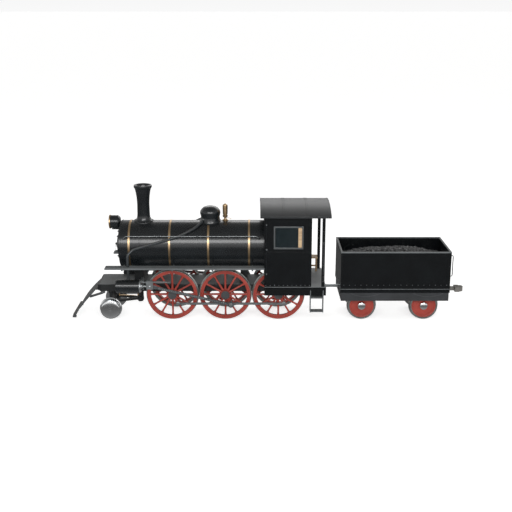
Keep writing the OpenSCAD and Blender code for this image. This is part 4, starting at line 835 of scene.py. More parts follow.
# ---------------------------------------------------------------------------------------------
# Cylinders
# Cast iron barrels lagged and clad in black sheet, with turned covers held by rings of studs, a
# stuffing box for the piston rod behind, and brass drain cocks below.
# ---------------------------------------------------------------------------------------------
low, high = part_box("cylinders")
front, rear = low.x + 0.024, high.x - 0.040
cover = 0.024
cover_r = cylinder_r - 0.012
barrel = turned("cylinder_barrel", "X", (0, -cylinder_y, cylinder_z), [
    (low.x, 0), (low.x, 0.040), (low.x + 0.003, 0.064), (low.x + 0.008, 0.070), (front, 0.070),
    (front, cover_r - 0.004), (front + 0.004, cover_r), (front + cover, cover_r),
    (front + cover, cylinder_r - 0.004),
    (front + cover + 0.004, cylinder_r), (front + cover + 0.030, cylinder_r),
    (front + cover + 0.032, cylinder_r - 0.005),
    (rear - cover - 0.032, cylinder_r - 0.005), (rear - cover - 0.030, cylinder_r),
    (rear - cover - 0.004, cylinder_r), (rear - cover, cylinder_r - 0.004), (rear - cover, cover_r),
    (rear - cover, 0)], steps=96)
studs = repeated("front_cover_studs", hex_bolt("cover_nut", 0.030, 0.016, (-1, 0, 0)), [
    at(front, -cylinder_y, cylinder_z) @ about("X", 30 * i + 15)
    @ at(0, 0, 0.145) for i in range(12)])
casting = block("cylinder_casting", (front + 0.060, -cylinder_y, bottom_z + 0.020),
                (rear - 0.060, -plate_y, cylinder_z + 0.100), 0.010, 3)
flange_bolts = repeated("casting_bolts", hex_bolt("casting_bolt", 0.030, 0.012, (0, 0, 1)), [
    at(x, -plate_y - 0.035, cylinder_z + 0.100) for x in spaced(front + 0.10, rear - 0.10, 0.085)])
lagged = both_sides(joined("cylinder_cladding", [barrel, studs, casting, flange_bolts]))
fitted(lagged, "engine", "gloss_black", gloss_black, "cylinders")
cover_ring = turned("rear_cover", "X", (0, -cylinder_y, cylinder_z), [
    (rear - cover - 0.001, 0.03), (rear - cover - 0.001, cover_r), (rear - 0.004, cover_r),
    (rear, cover_r - 0.004),
    (rear, 0.066), (rear + 0.012, 0.062), (rear + 0.036, 0.062), (rear + 0.040, 0.058),
    (rear + 0.040, 0.0285), (rear - cover, 0.0285)], steps=80)
rear_studs = repeated("rear_cover_studs", hex_bolt("rear_nut", 0.030, 0.015, (1, 0, 0)), [
    at(rear, -cylinder_y, cylinder_z) @ about("X", 30 * i + 15)
    @ at(0, 0, 0.145) for i in range(12) if i not in (0, 11)])
gland_nuts = repeated("gland_nuts", hex_bolt("gland_nut", 0.018, 0.012, (1, 0, 0)), [
    at(rear + 0.040, -cylinder_y + 0.046 * math.cos(a), cylinder_z + 0.046 * math.sin(a))
    for a in (0.5, math.pi - 0.5, math.pi + 0.5, -0.5)])
cover_ring = both_sides(joined("cylinder_rear_covers", [cover_ring, rear_studs, gland_nuts]))
# Turned iron covers wiped with oil: light grey, soft rings.
cover_iron = metal("oiled_cast_iron", "#c6cacc", "#8a8883", 0.48, (60.0, 60.0, 60.0), soiled=0.45)
fitted(cover_ring, "engine", "bright_steel", cover_iron)
cocks = []
for x in (front + 0.075, rear - 0.075):
    cocks.append(turned(f"cock.{x}", "Z", (x, -cylinder_y, cylinder_z - cylinder_r), [
        (0.006, 0), (0.006, 0.016), (-0.010, 0.016), (-0.014, 0.011), (-0.030, 0.011),
        (-0.034, 0.018), (-0.052, 0.018), (-0.056, 0.009), (-0.072, 0.008), (-0.072, 0)], steps=20))
    cocks.append(tube(f"cock_lever.{x}", [(x, -cylinder_y, cylinder_z - cylinder_r - 0.043),
                                          (x, -cylinder_y - 0.038,
                                           cylinder_z - cylinder_r - 0.043)], 0.005, sides=2))
cocks.append(tube("cock_rod",
                  [(front + 0.075, -cylinder_y - 0.036, cylinder_z - cylinder_r - 0.043),
                               (rear - 0.075, -cylinder_y - 0.036,
                                cylinder_z - cylinder_r - 0.043)], 0.004, sides=2))
fitted(both_sides(joined("cylinder_drain_cocks", cocks)), "engine", "brass", brass)

# ---------------------------------------------------------------------------------------------
# Guide bars and crossheads
# Planed steel bars and forged crossheads, left bright and oiled; the piston rods are ground.
# ---------------------------------------------------------------------------------------------
# Planed steel under old oil: light grey with fine lengthwise tool lines.
guide_steel = metal("oiled_planed_steel", "#b4b9bb", "#77746f", 0.42, (12.0, 150.0, 150.0),
                    soiled=0.5)
fitted(bevelled("guide_bar_pair", "guide_bars", 0.003), "engine", "bright_steel", guide_steel,
       "guide_bars")
for side, node in ((-1, "crosshead_left"), (1, "crosshead_right")):
    fitted(bevelled(f"{node}_forging", node, 0.002), node, "bright_steel", guide_steel, node)
    low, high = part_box(node)
    outer = high.y if side > 0 else low.y
    nut = turned(f"{node}_pin_nut", "Y", (high.x - 0.090, 0, cylinder_z), [
        (outer + side * out, radius) for out, radius in (
            (-0.004, 0), (-0.004, 0.026), (0.012, 0.026), (0.016, 0.020), (0.016, 0))], steps=6)
    fitted(nut, node, "bright_steel", bright_steel)

# ---------------------------------------------------------------------------------------------
# Main rods
# Forged steel, milled to an I section with a row of dimples down the flute; strapped brasses at
# the crosshead end, a round end over the crankpin, and an oil cup on each.
# ---------------------------------------------------------------------------------------------
# Machined rod steel gone dark with oil: blue-grey with blackish smears along the rod.
oily_steel = metal("oil_darkened_steel", "#8c9195", "#4d4b48", 0.40, (12.0, 140.0, 140.0),
                   soiled=0.7, soil_scale=7.0)
rod_steel = metal("dull_machined_steel", "#b0b5b7", "#726f6a", 0.40, (10.0, 150.0, 150.0),
                  soiled=0.5, soil_scale=6.0)
crank_throw = 0.275
rod_length = 2.26712
rod_y = (0.775, 0.815)
pin_angles = {-1: -56.0, 1: 34.0}
rod_half = 0.037


def crankpin(side, x):
    """The middle of a crankpin in the side view."""
    turn = math.radians(pin_angles[side])
    return x + crank_throw * math.cos(turn), driver_z + crank_throw * math.sin(turn)


def fluted_bar(name, start, stop, half, depth, inner, outer, flute):
    """A bar along X between two Y faces, with a sunk flute down both sides."""
    bar = block(name, (start, inner, -half), (stop, outer, half), 0.002, 1)
    sunk = (bpy.ops.mesh.inset, {"thickness": flute, "depth": 0})
    shape(bar, "FACE", lambda place, normal: abs(normal.y) > 0.99, sunk)
    down = (bpy.ops.mesh.inset, {"thickness": depth, "depth": -depth})
    return shape(bar, "FACE", lambda place, normal: abs(normal.y) > 0.99 and abs(place.z) < 0.001
                 and abs(place.x - (start + stop) / 2) < 0.001, down)


for side, name in ((-1, "left"), (1, "right")):
    node = f"main_rod_{name}"
    pin_x, pin_z = crankpin(side, driver_xs[1])
    rise = math.asin((pin_z - cylinder_z) / rod_length)
    start_x = pin_x - rod_length * math.cos(rise)
    inner, outer = rod_y
    blade = fluted_bar("blade", 0.040, rod_length - 0.050, rod_half, 0.006, inner + 0.005,
                       outer - 0.005, 0.012)
    eye = turned("eye", "Y", (0, 0, 0), [
        (inner, 0.0345), (inner, 0.056), (inner + 0.004, 0.060), (outer - 0.004, 0.060),
        (outer, 0.056), (outer, 0.0345), (inner, 0.0345)], steps=48)
    big = turned("big_end", "Y", (rod_length, 0, 0), [
        (inner, 0), (inner, 0.080), (inner + 0.004, 0.084), (outer - 0.004, 0.084), (outer, 0.080),
        (outer, 0.062), (outer - 0.004, 0.060), (outer - 0.004, 0)], steps=56)
    strap = block("strap", (0.045, inner + 0.002, -0.046), (0.190, outer - 0.002, 0.046), 0.004, 2)
    wedge = block("wedge", (0.110, inner + 0.008, -0.064), (0.124, outer - 0.008, 0.066), 0.002, 1)
    strap_heads = repeated("strap_heads", hex_bolt("strap_head", 0.024, 0.006, (0, 1, 0)), [
        at(x, outer - 0.002, z) for x in (0.085, 0.150) for z in (-0.026, 0.026)])
    cup = turned("oil_cup", "Z", (rod_length, (inner + outer) / 2, 0), [
        (0.080, 0), (0.080, 0.012), (0.092, 0.012), (0.094, 0.017), (0.116, 0.017), (0.118, 0.010),
        (0.124, 0.006), (0.124, 0)], steps=20)
    cap = turned("pin_cap", "Y", (rod_length, 0, 0), [
        (outer - 0.005, 0), (outer - 0.005, 0.046), (outer + 0.009, 0.046), (outer + 0.013, 0.042),
        (outer + 0.014, 0.030), (outer + 0.014, 0)], steps=40)
    rod = joined(f"{node}_forging", [blade, eye, big, strap, wedge, strap_heads, cup])
    dimple = turned("dimple", "Y", (0, 0, 0), [(0, 0), (0.001, 0.011), (0, 0.015), (-0.001, 0.015),
                                               (-0.001, 0)], steps=14)
    dimples = repeated("dimples", dimple, [at(x, outer - 0.0105, 0)
                                           for x in spaced(0.26, rod_length - 0.16, 0.050)])
    place = at(start_x, 0, cylinder_z) @ Matrix.Rotation(-rise, 4, "Y")
    if side < 0:
        place = MIRROR @ place
    finish = {f"{node}_forging": (rod, oily_steel, "oily_steel", (node,)),
              f"{node}_dimples": (dimples, bright_steel, "bright_steel", ()),
              f"{node}_pin_cap": (cap, bright_steel, "bright_steel", ())}
    for title, (piece, material, slot, nodes) in finish.items():
        piece.data.transform(place)
        if side < 0:
            piece.data.flip_normals()
        piece.name = title
        fitted(piece, node, slot, material, *nodes)

# ---------------------------------------------------------------------------------------------
# Side rods
# Forged steel with round bushed ends over the three crankpins; an oil boss stands on each end.
# ---------------------------------------------------------------------------------------------
for side, name in ((-1, "left"), (1, "right")):
    node = f"side_rod_{name}"
    inner, outer = 0.680, 0.720
    pins = [crankpin(side, x) for x in driver_xs]
    pieces = []
    for (x0, z), (x1, _) in zip(pins, pins[1:]):
        bar = fluted_bar("bar", x0 + 0.040, x1 - 0.040, 0.031, 0.005, inner + 0.004, outer - 0.004,
                         0.010)
        bar.data.transform(at(0, 0, z))
        pieces.append(bar)
    for x, z in pins:
        pieces.append(turned("end", "Y", (x, 0, z), [
            (inner, 0.0385), (inner, 0.060), (inner + 0.004, 0.064), (outer - 0.004, 0.064),
            (outer, 0.060), (outer, 0.0385), (inner, 0.0385)], steps=48))
        pieces.append(turned("boss", "Z", (x, (inner + outer) / 2, z), [
            (0.060, 0), (0.060, 0.014), (0.074, 0.014), (0.078, 0.009), (0.086, 0.007), (0.086, 0)],
            steps=16))
    rod = joined(f"{node}_forging", pieces)
    if side < 0:
        rod.data.transform(MIRROR)
        rod.data.flip_normals()
    fitted(rod, node, "rod_steel", rod_steel, node)

# ---------------------------------------------------------------------------------------------
# Driving wheels
# Cast steel centres with twelve tapered oval spokes, a rim, a hub and a boss for the crankpin,
# pressed on the axle; red enamel, with grey hub faces and bare steel pins.
# ---------------------------------------------------------------------------------------------
# Red enamel over cast steel: warm brick red, soft gloss, darker where oil and dust lie.
wheel_red = painted("red_enamel", "#a03e32", "#8a3026", 0.36, 0.15, dust="#8a6a58", dusty=0.25,
                    peel_mm=7.0, peel=0.2)
# Turned tyre steel: pale grey with fine rings, thinly browned.
tyre_steel = metal("turned_tyre_steel", "#c3c5c3", "#7c746a", 0.34, (60.0, 60.0, 60.0), soiled=0.5,
                   soil_scale=4.0)
wheel_back, wheel_face, hub_face = 0.495, 0.625, 0.665
rim_out, rim_in = 0.6517, 0.596
hub_r = 0.125


def wheel_centre(pin_degrees):
    """A driving wheel's red casting on the left side, round its own axle."""
    y0, y1 = wheel_back + 0.012, wheel_face - 0.012
    rim = turned("rim", "Y", (0, 0, 0), [
        (-y0, rim_in + 0.006), (-y0, rim_out - 0.002), (-y0 - 0.002, rim_out),
        (-y1 + 0.003, rim_out),
        (-y1, rim_out - 0.003), (-y1, rim_in + 0.010), (-y1 + 0.008, rim_in + 0.002),
        (-y0 - 0.040, rim_in), (-y0, rim_in + 0.006)], steps=128)
    hub = turned("hub", "Y", (0, 0, 0), [
        (-wheel_back, 0.081), (-wheel_back, hub_r + 0.008), (-wheel_back - 0.004, hub_r + 0.012),
        (-hub_face + 0.046, hub_r + 0.012), (-hub_face + 0.034, hub_r + 0.008),
        (-hub_face + 0.028, hub_r + 0.001),
        (-hub_face + 0.006, hub_r - 0.001), (-hub_face + 0.004, 0.081)], steps=64)
    bpy.ops.object.select_all(action="DESELECT")
    bpy.ops.mesh.primitive_cylinder_add(vertices=16, radius=0.5, depth=1, location=(0, 0, 0.5))
    spoke = named("spoke")
    rows = 6
    cuts = (bpy.ops.mesh.subdivide, {"number_cuts": rows - 1})
    shape(spoke, "EDGE", lambda a, b: abs(a.z - b.z) > 0.9, cuts)
    for corner in spoke.data.vertices:
        out = corner.co.z
        reach = hub_r - 0.010 + (rim_in + 0.012 - hub_r) * out
        swell = 0.016 * max(0.0, 1 - out * 6) ** 2 + 0.014 * max(0.0, (out - 0.84) / 0.16) ** 2
        width = 0.064 - 0.018 * out + 2 * swell
        depth = 0.070 - 0.016 * out + swell
        corner.co = Vector((corner.co.x * width, -(y0 + y1) / 2 + 0.002 + corner.co.y * depth,
                            reach))
    spokes = repeated("spokes", spoke, [about("Y", 30 * i) for i in range(12)])
    turn = about("Y", -pin_degrees)
    boss = turned("boss", "Y", (crank_throw, 0, 0), [
        (-y0, 0), (-y0, 0.070), (-hub_face + 0.018, 0.072), (-hub_face + 0.014, 0.068),
        (-hub_face + 0.012, 0.040), (-hub_face + 0.012, 0)], steps=40)
    web = block("web", (0.105, -y1 - 0.006, -0.046), (crank_throw - 0.02, -y0 - 0.010, 0.046),
                0.010, 3)
    for piece in (boss, web):
        piece.data.transform(turn)
    return joined("wheel_centre", [rim, hub, spokes, boss, web])


def wheel_pins(pin_degrees):
    """The hub's grey face and the steel crankpin with its cap, on the left side."""
    turn = about("Y", -pin_degrees)
    face = turned("hub_face", "Y", (0, 0, 0), [
        (-hub_face + 0.008, hub_r - 0.003), (-hub_face, hub_r - 0.010), (-hub_face, 0.090),
        (-hub_face + 0.004, 0.086),
        (-hub_face + 0.004, 0.081), (-hub_face + 0.001, 0.078), (-hub_face + 0.001, 0.012),
        (-hub_face + 0.008, 0), ], steps=56)
    pin = turned("pin", "Y", (crank_throw, 0, 0), [
        (-hub_face + 0.020, 0), (-hub_face + 0.020, 0.038), (-0.723, 0.038), (-0.723, 0.044),
        (-0.726, 0.048),
        (-0.731, 0.048), (-0.733, 0.045), (-0.733, 0.020), (-0.731, 0.018), (-0.731, 0)], steps=40)
    pin.data.transform(turn)
    return face, pin


# Hub faces painted dark grey and wiped with oil: smooth, darker than the steel.
hub_paint = painted("hub_grey_paint", "#4a4c4e", "#3a3b3c", 0.36, 0.15, dusty=0.2, peel_mm=6.0,
                    peel=0.15)
centre = wheel_centre(pin_angles[-1])
face, pin = wheel_pins(pin_angles[-1])
quarter = MIRROR @ about("Y", -90)
tyre_profile = [(-wheel_back, 0.652), (-wheel_back, 0.719), (-0.504, 0.727), (-0.510, 0.727),
                (-0.515, 0.724), (-0.521, 0.712),
                (-0.524, 0.706), (-0.530, 0.700), (-0.619, 0.698), (-0.623, 0.696),
                (-wheel_face, 0.692), (-wheel_face, 0.656), (-0.621, 0.652), (-wheel_back, 0.652)]
tyre = turned("tyre", "Y", (0, 0, 0), tyre_profile, steps=160)
# The outer face of each driving tyre is painted with the wheel; only the tread runs bright.
tyre_face = turned("tyre_face", "Y", (0, 0, 0), [
    (-wheel_face + 0.001, 0.6525), (-wheel_face - 0.0016, 0.655), (-wheel_face - 0.0016, 0.6895),
    (-wheel_face + 0.001, 0.6915), (-wheel_face + 0.001, 0.6525)], steps=160)
axle_r = 0.080
shaft_end = wheel_back + 0.16
for i, x in enumerate(driver_xs, 1):
    there = at(x, 0, driver_z)
    body = f"driver_axle_{i}"
    rows = ((centre, "centres", "wheel_red", wheel_red, (f"driver_wheels_{i}",), quarter),
            (face, "hub_faces", "wheel_red", hub_paint, (), quarter),
            (pin, "crankpins", "bright_steel", bright_steel, (), quarter),
            (tyre, "tyre_rings", "tyre_steel", tyre_steel, (f"driver_tyres_{i}",), MIRROR),
            (tyre_face, "tyre_faces", "wheel_red", wheel_red, (), MIRROR))
    for master, title, slot, material, nodes, other in rows:
        title = f"driver_{title}_{i}"
        pair = joined(title, [copied(master, title, there), copied(master, title + ".other",
                                                                   there @ other)])
        fitted(pair, body, slot, material, *nodes)
    shaft = turned(f"driver_shaft_{i}", "Y", (x, 0, driver_z), [
        (-shaft_end, 0), (-shaft_end, 0.070), (-shaft_end + 0.003, axle_r - 0.006),
        (-shaft_end + 0.005, axle_r),
        (-0.44, axle_r), (-0.30, axle_r), (-0.28, axle_r - 0.008), (0.28, axle_r - 0.008),
        (0.30, axle_r),
        (0.44, axle_r), (shaft_end - 0.005, axle_r), (shaft_end, 0.070), (shaft_end, 0)], steps=48)
    fitted(shaft, body, "wheel_red", rod_steel)
for master in (centre, face, pin, tyre, tyre_face):
    bpy.data.objects.remove(master)

# ---------------------------------------------------------------------------------------------
# Leading wheels
# Small solid wheels of polished cast steel with a domed face, pressed on a plain axle.
# ---------------------------------------------------------------------------------------------
# Polished cast steel: bright, a little softened, with faint rings and a light film of dust.
polished_steel = metal("polished_cast_steel", "#f2f4f5", "#d2d5d6", 0.15, (20.0, 20.0, 20.0),
                       soiled=0.3, streak=0.03)
low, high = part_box("pony_wheels")
pony_x, pony_z = (low.x + high.x) / 2, (low.z + high.z) / 2
pony_r = 0.280
small_axle_r = 0.062
rings = [(-wheel_back, 0), (-wheel_back, pony_r + 0.019), (-0.504, pony_r + 0.027),
         (-0.510, pony_r + 0.027),
         (-0.516, pony_r + 0.022), (-0.524, pony_r + 0.006), (-0.530, pony_r),
         (-0.619, pony_r - 0.002),
         (-wheel_face, pony_r - 0.007), (-wheel_face, pony_r - 0.016),
         (-wheel_face + 0.006, pony_r - 0.020),
         (-wheel_face + 0.006, pony_r - 0.034), (-wheel_face - 0.004, pony_r - 0.040)]
rings += [(-wheel_face - 0.012 - 0.030 * math.sin(t), (pony_r - 0.050) * math.cos(t) + 0.02)
          for t in [math.pi / 2 * i / 9 for i in range(9)]]
rings += [(-wheel_face - 0.044, 0.030), (-wheel_face - 0.046, 0.022), (-wheel_face - 0.046, 0)]
wheels = both_sides(turned("pony_wheel", "Y", (pony_x, 0, pony_z), rings, steps=96))


def small_shaft(name, x, z):
    """A plain axle for a pair of small wheels, a little thinner between its seats."""
    end = wheel_back + 0.01
    return turned(name, "Y", (x, 0, z), [
        (-end, 0), (-end, small_axle_r), (-0.34, small_axle_r), (-0.32, small_axle_r - 0.006),
        (0.32, small_axle_r - 0.006), (0.34, small_axle_r), (end, small_axle_r), (end, 0)],
        steps=40)


wheelset = joined("pony_wheelset", [wheels, small_shaft("pony_shaft", pony_x, pony_z)])
fitted(wheelset, "pony_axle", "polished_steel", polished_steel, "pony_wheels")

# ---------------------------------------------------------------------------------------------
# Firebox and backhead
# Heavy boiler plate, flanged and stayed, under matt heat-resisting black; the cab's fittings are
# brass and copper, screwed into bosses on the plate.
# ---------------------------------------------------------------------------------------------
# Heat-resisting black: dead matt and dusty, faintly brown where it has been hot.
hot_black = painted("heat_resisting_black", "#232221", "#2c2725", 0.78, 0.0, dust="#6f665c",
                    dusty=0.4, peel_mm=4.0, peel=0.4)
fitted(bevelled("firebox_casing", "firebox", 0.005), "engine", "hot_black", hot_black, "firebox")
fitted(bevelled("backhead_plate", "backhead", 0.002), "engine", "hot_black", hot_black, "backhead")
fitted(bevelled("firehole_door_plate", "firehole_door", 0.002), "firehole_door", "hot_black",
       hot_black, "firehole_door")
head_x = 0.415
stays = rivets("backhead_stays", 0.014, 0.009, (1, 0, 0), [
    (head_x + 0.026, y, z) for y in (-0.35, -0.21, -0.07, 0.07, 0.21, 0.35) for z in (1.06, 1.18,
                                                                                      1.76, 1.88)
    if not (abs(y) > 0.3 and z > 1.8)]
    + [(head_x + 0.026, 0.62 * math.sin(math.radians(a)),
        boiler_z + 0.62 * math.cos(math.radians(a)))
       for a in range(-120, 121, 10)])
fitted(stays, "engine", "hot_black", hot_black)
# Enamelled dial behind glass: cream-white face with a ring of black marks and a blued needle.
dial_face = painted("white_enamel", "#f1eee2", "#e6e1d0", 0.25, 0.6, dusty=0.0, peel_mm=9.0,
                    peel=0.02)
needle_blue = metal("blued_steel", "#2a3140", "#1a1d24", 0.3, (60.0, 60.0, 60.0))
faces, marks, rims = [], [], []
gauge_x, gauge_z = head_x + 0.070, boiler_z + 0.380
for y in (-0.150, 0.150):
    faces.append(turned("dial", "X", (gauge_x, y, gauge_z), [
        (-0.002, 0), (-0.002, 0.060), (0.003, 0.060), (0.004, 0.058), (0.004, 0)], steps=40))
    rims.append(turned("dial_rim", "X", (gauge_x, y, gauge_z), [
        (-0.050, 0.030), (-0.050, 0.066), (-0.004, 0.070), (-0.004, 0.076), (0.010, 0.076),
        (0.014, 0.072), (0.012, 0.062), (0.003, 0.060), (-0.050, 0.030)], steps=48))
    for i in range(11):
        mark = block("mark", (0.003, -0.0015, 0.042), (0.0055, 0.0015, 0.054), 0.0004, 1)
        mark.data.transform(at(gauge_x, y, gauge_z) @ about("X", -135 + 27 * i))
        marks.append(mark)
    hand = block("hand", (0.006, -0.002, -0.012), (0.008, 0.002, 0.046), 0.0005, 1)
    hand.data.transform(at(gauge_x, y, gauge_z) @ about("X", 60))
    marks.append(hand)
fitted(joined("gauge_dials", faces), "engine", "brass", dial_face)
fitted(joined("gauge_hands", marks), "engine", "oily_steel", needle_blue)
wheel_valves = []
for y, z in ((-0.42, 2.30), (0.42, 2.30), (-0.26, 2.46), (0.26, 2.46), (-0.12, 1.80), (0.12, 1.80)):
    hand_wheel = turned("hand_wheel", "X", (head_x + 0.100, y, z), [
        (-0.006, 0.036), (-0.006, 0.044), (0.006, 0.044), (0.006, 0.036), (-0.006, 0.036)],
        steps=28)
    spokes = [tube("wheel_spoke",
                   [(head_x + 0.100, y - 0.038 * math.cos(a), z - 0.038 * math.sin(a)),
                                   (head_x + 0.100, y + 0.038 * math.cos(a),
                                    z + 0.038 * math.sin(a))], 0.004, sides=2)
              for a in (0.3, 1.87)]
    stem = turned("valve_stem", "X", (head_x, y, z), [
        (0.020, 0), (0.020, 0.024), (0.034, 0.024), (0.038, 0.016), (0.060, 0.016), (0.064, 0.020),
        (0.074, 0.020), (0.078, 0.008), (0.108, 0.008), (0.110, 0)], steps=20)
    wheel_valves += [hand_wheel, stem] + spokes
fitted(joined("cab_valves", rims + wheel_valves), "engine", "brass", brass)
# Copper tube, drawn and wiped: salmon brown, darker towards its bends.
copper = metal("drawn_copper", "#c9805c", "#6d4632", 0.3, (40.0, 40.0, 40.0), soiled=0.6)
copper_pipes = []
for side in (-1, 1):
    copper_pipes.append(tube("injector_pipe", [
        (head_x + 0.060, side * 0.42, 2.28), (head_x + 0.060, side * 0.42, 1.55),
        (head_x + 0.060, side * 0.36, 1.30),
        (head_x + 0.060, side * 0.36, 1.05)], 0.014, bend=0.06))
    copper_pipes.append(tube("gauge_pipe", [
        (gauge_x - 0.045, side * 0.150, gauge_z), (gauge_x - 0.045, side * 0.150, gauge_z + 0.13),
        (gauge_x - 0.045, side * 0.26, gauge_z + 0.13), (gauge_x - 0.045, side * 0.26, 2.46)],
        0.007, bend=0.03, sides=3))
fitted(joined("cab_pipes", copper_pipes), "engine", "brass", copper)

# ---------------------------------------------------------------------------------------------
# Cab
# Flat steel sheets riveted to angle irons and painted black, with grey window frames, plate
# floor, rear posts and a valance; steps of grey plate hang below the doorway.
# ---------------------------------------------------------------------------------------------
# Brushed aluminium window metal: pale grey satin with fine lines along each bar.
window_metal = metal("satin_window_metal", "#8f9395", "#6d6f70", 0.36, (30.0, 200.0, 200.0),
                     soiled=0.25)
# Pale grey floor paint, scuffed by boots: dull, with lighter rubbed clouds.
floor_paint = painted("pale_grey_floor_paint", "#9da1a3", "#878b8d", 0.55, 0.03, dust="#8f8a80",
                      dusty=0.2, peel_mm=8.0, peel=0.3)
# Black sheet enamel, flat and deep: takes only a faint sheen, and shows brush clouds close to.
sheet_black = painted("black_sheet_enamel", "#0e1113", "#090b0d", 0.22, 0.04, peel_mm=60.0,
                      peel=0.06, dusty=0.06)
for name, node, slot, material, width in (
        ("cab_front_sheet", "cab_front", "gloss_black", sheet_black, 0.002),
        ("cab_side_sheet_left", "cab_side_left", "gloss_black", sheet_black, 0.002),
        ("cab_side_sheet_right", "cab_side_right", "gloss_black", sheet_black, 0.002),
        ("cab_rear_posts", "cab_posts", "gloss_black", sheet_black, 0.004),
        ("cab_floor_plates", "cab_floor", "deck_paint", floor_paint, 0.003),
        ("cab_window_sashes", "cab_window_frames", "window_metal", window_metal, 0.003),
        ("cab_step_irons", "cab_steps", "frame_paint", deck_paint, 0.003)):
    fitted(bevelled(name, node, width), "engine", slot, material, node)
side_y = 0.920
low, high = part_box("cab_side_left")
cab_x, cab_rear, cab_base, cab_top = low.x, high.x, low.z, high.z
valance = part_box("cab_floor")[0].z
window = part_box("cab_window_frames")
seams = [(x, -side_y, cab_top - 0.06) for x in spaced(cab_x + 0.04, cab_rear - 0.04, 0.17)]
seams += [(cab_x + 0.022, -side_y, z) for z in spaced(cab_base + 0.14, cab_top - 0.15, 0.13)]
seams += [(cab_rear - 0.022, -side_y, z) for z in spaced(cab_base + 0.14, cab_top - 0.15, 0.13)]
seams += [(x, -side_y, 0.985) for x in spaced(cab_x + 0.04, 1.50, 0.17)]
fitted(both_sides(rivets("cab_rivets", 0.0075, 0.005, (0, -1, 0), seams)), "engine", "gloss_black",
       sheet_black)
foot_row = [(x, -side_y, cab_base + 0.053) for x in spaced(cab_x + 0.04, cab_rear - 0.04, 0.115)]
fitted(both_sides(rivets("cab_foot_rivets", 0.009, 0.006, (0, -1, 0), foot_row)), "engine",
       "gloss_black", window_metal)
valance_end, joint_z = 1.538, 2.004
valance_face = block("valance_faces", (cab_x - 0.001, -side_y - 0.003, valance + 0.002),
                     (valance_end, -side_y + 0.001, cab_base - 0.004), 0.001, 1)
fitted(both_sides(valance_face), "engine", "gloss_black", sheet_black)
foot_bead = block("foot_bead", (cab_x, -side_y - 0.006, cab_base + 0.002),
                  (valance_end - 0.001, -side_y + 0.002, cab_base + 0.014), 0.003)
fitted(both_sides(foot_bead), "engine", "frame_paint", deck_paint)
joint_strip = block("joint_strip", (cab_x + 0.004, -side_y - 0.004, joint_z),
                    (cab_rear - 0.004, -side_y + 0.002, joint_z + 0.026), 0.002)
fitted(both_sides(joint_strip), "engine", "gloss_black", sheet_black)
rear_bead = block("rear_bead", (cab_rear - 0.006, -side_y - 0.006, cab_base + 0.02),
                  (cab_rear + 0.008, -side_y + 0.040, cab_top - 0.004), 0.005, 3)
corner = block("corner_iron", (cab_x - 0.006, -side_y - 0.006, cab_base + 0.02),
               (cab_x + 0.012, -side_y + 0.03, cab_top - 0.004), 0.003, 2)
fitted(both_sides(joined("cab_edge_irons", [rear_bead, corner])), "engine", "gloss_black",
       sheet_black)
rail_x, rail_y = cab_x + 0.055, side_y + 0.045
corner_rod = both_sides(tube("corner_rod", [(rail_x, -rail_y, 1.36), (rail_x, -rail_y, 3.00)],
                             0.008))
fitted(corner_rod, "engine", "gloss_black", gloss_black)
grab = [turned("rod_eye", "Y", (rail_x, 0, z), [
    (-side_y - out, radius) for out, radius in (
        (-0.002, 0), (-0.002, 0.020), (0.008, 0.018), (0.014, 0.010), (0.030, 0.010),
        (0.036, 0.016),
        (0.052, 0.016), (0.058, 0.008), (0.058, 0))], steps=18) for z in (1.42, 2.10, 2.78)]
door_x, door_foot, door_head = 1.448, 1.20, 2.30
grab.append(tube("door_rod", [
    (door_x, -side_y, door_foot), (door_x, -rail_y - 0.012, door_foot), (door_x, -rail_y - 0.012,
                                                                         door_head),
    (door_x, -side_y, door_head)], 0.011, bend=0.03))
fitted(both_sides(joined("cab_grab_rails", grab)), "engine", "rail_steel", rail_steel)

# ---------------------------------------------------------------------------------------------
# Cab windows
# Plate glass in the side and front openings, smoked by years of soot; a varnished wooden rail
# stands behind the rear edge of each side pane.
# ---------------------------------------------------------------------------------------------
# Sooty plate glass: dark blue-green, glossy, letting through little light.
smoked_glass, tree, shader, place = surface("sooty_plate_glass")
soot = add(tree, "TexNoise", {"Vector": place.outputs["Object"], "Scale": 3.0, "Detail": 6.0})
film = add(tree, "MapRange", {"Value": soot.outputs["Fac"], "From Min": 0.35, "From Max": 0.75,
                              "To Min": 0.04, "To Max": 0.16})
depth = add(tree, "Mix", {"Factor": soot.outputs["Fac"], "A": srgb("#2a363a"),
                          "B": srgb("#3d4b50")}, data_type="RGBA")
linked(tree, shader, depth.outputs["Result"], film.outputs["Result"])
shader.inputs["Transmission Weight"].default_value = 0.75
shader.inputs["IOR"].default_value = 1.5
fitted(bevelled("cab_window_panes", "cab_windows", 0.001), "engine", "glass", smoked_glass,
       "cab_windows")


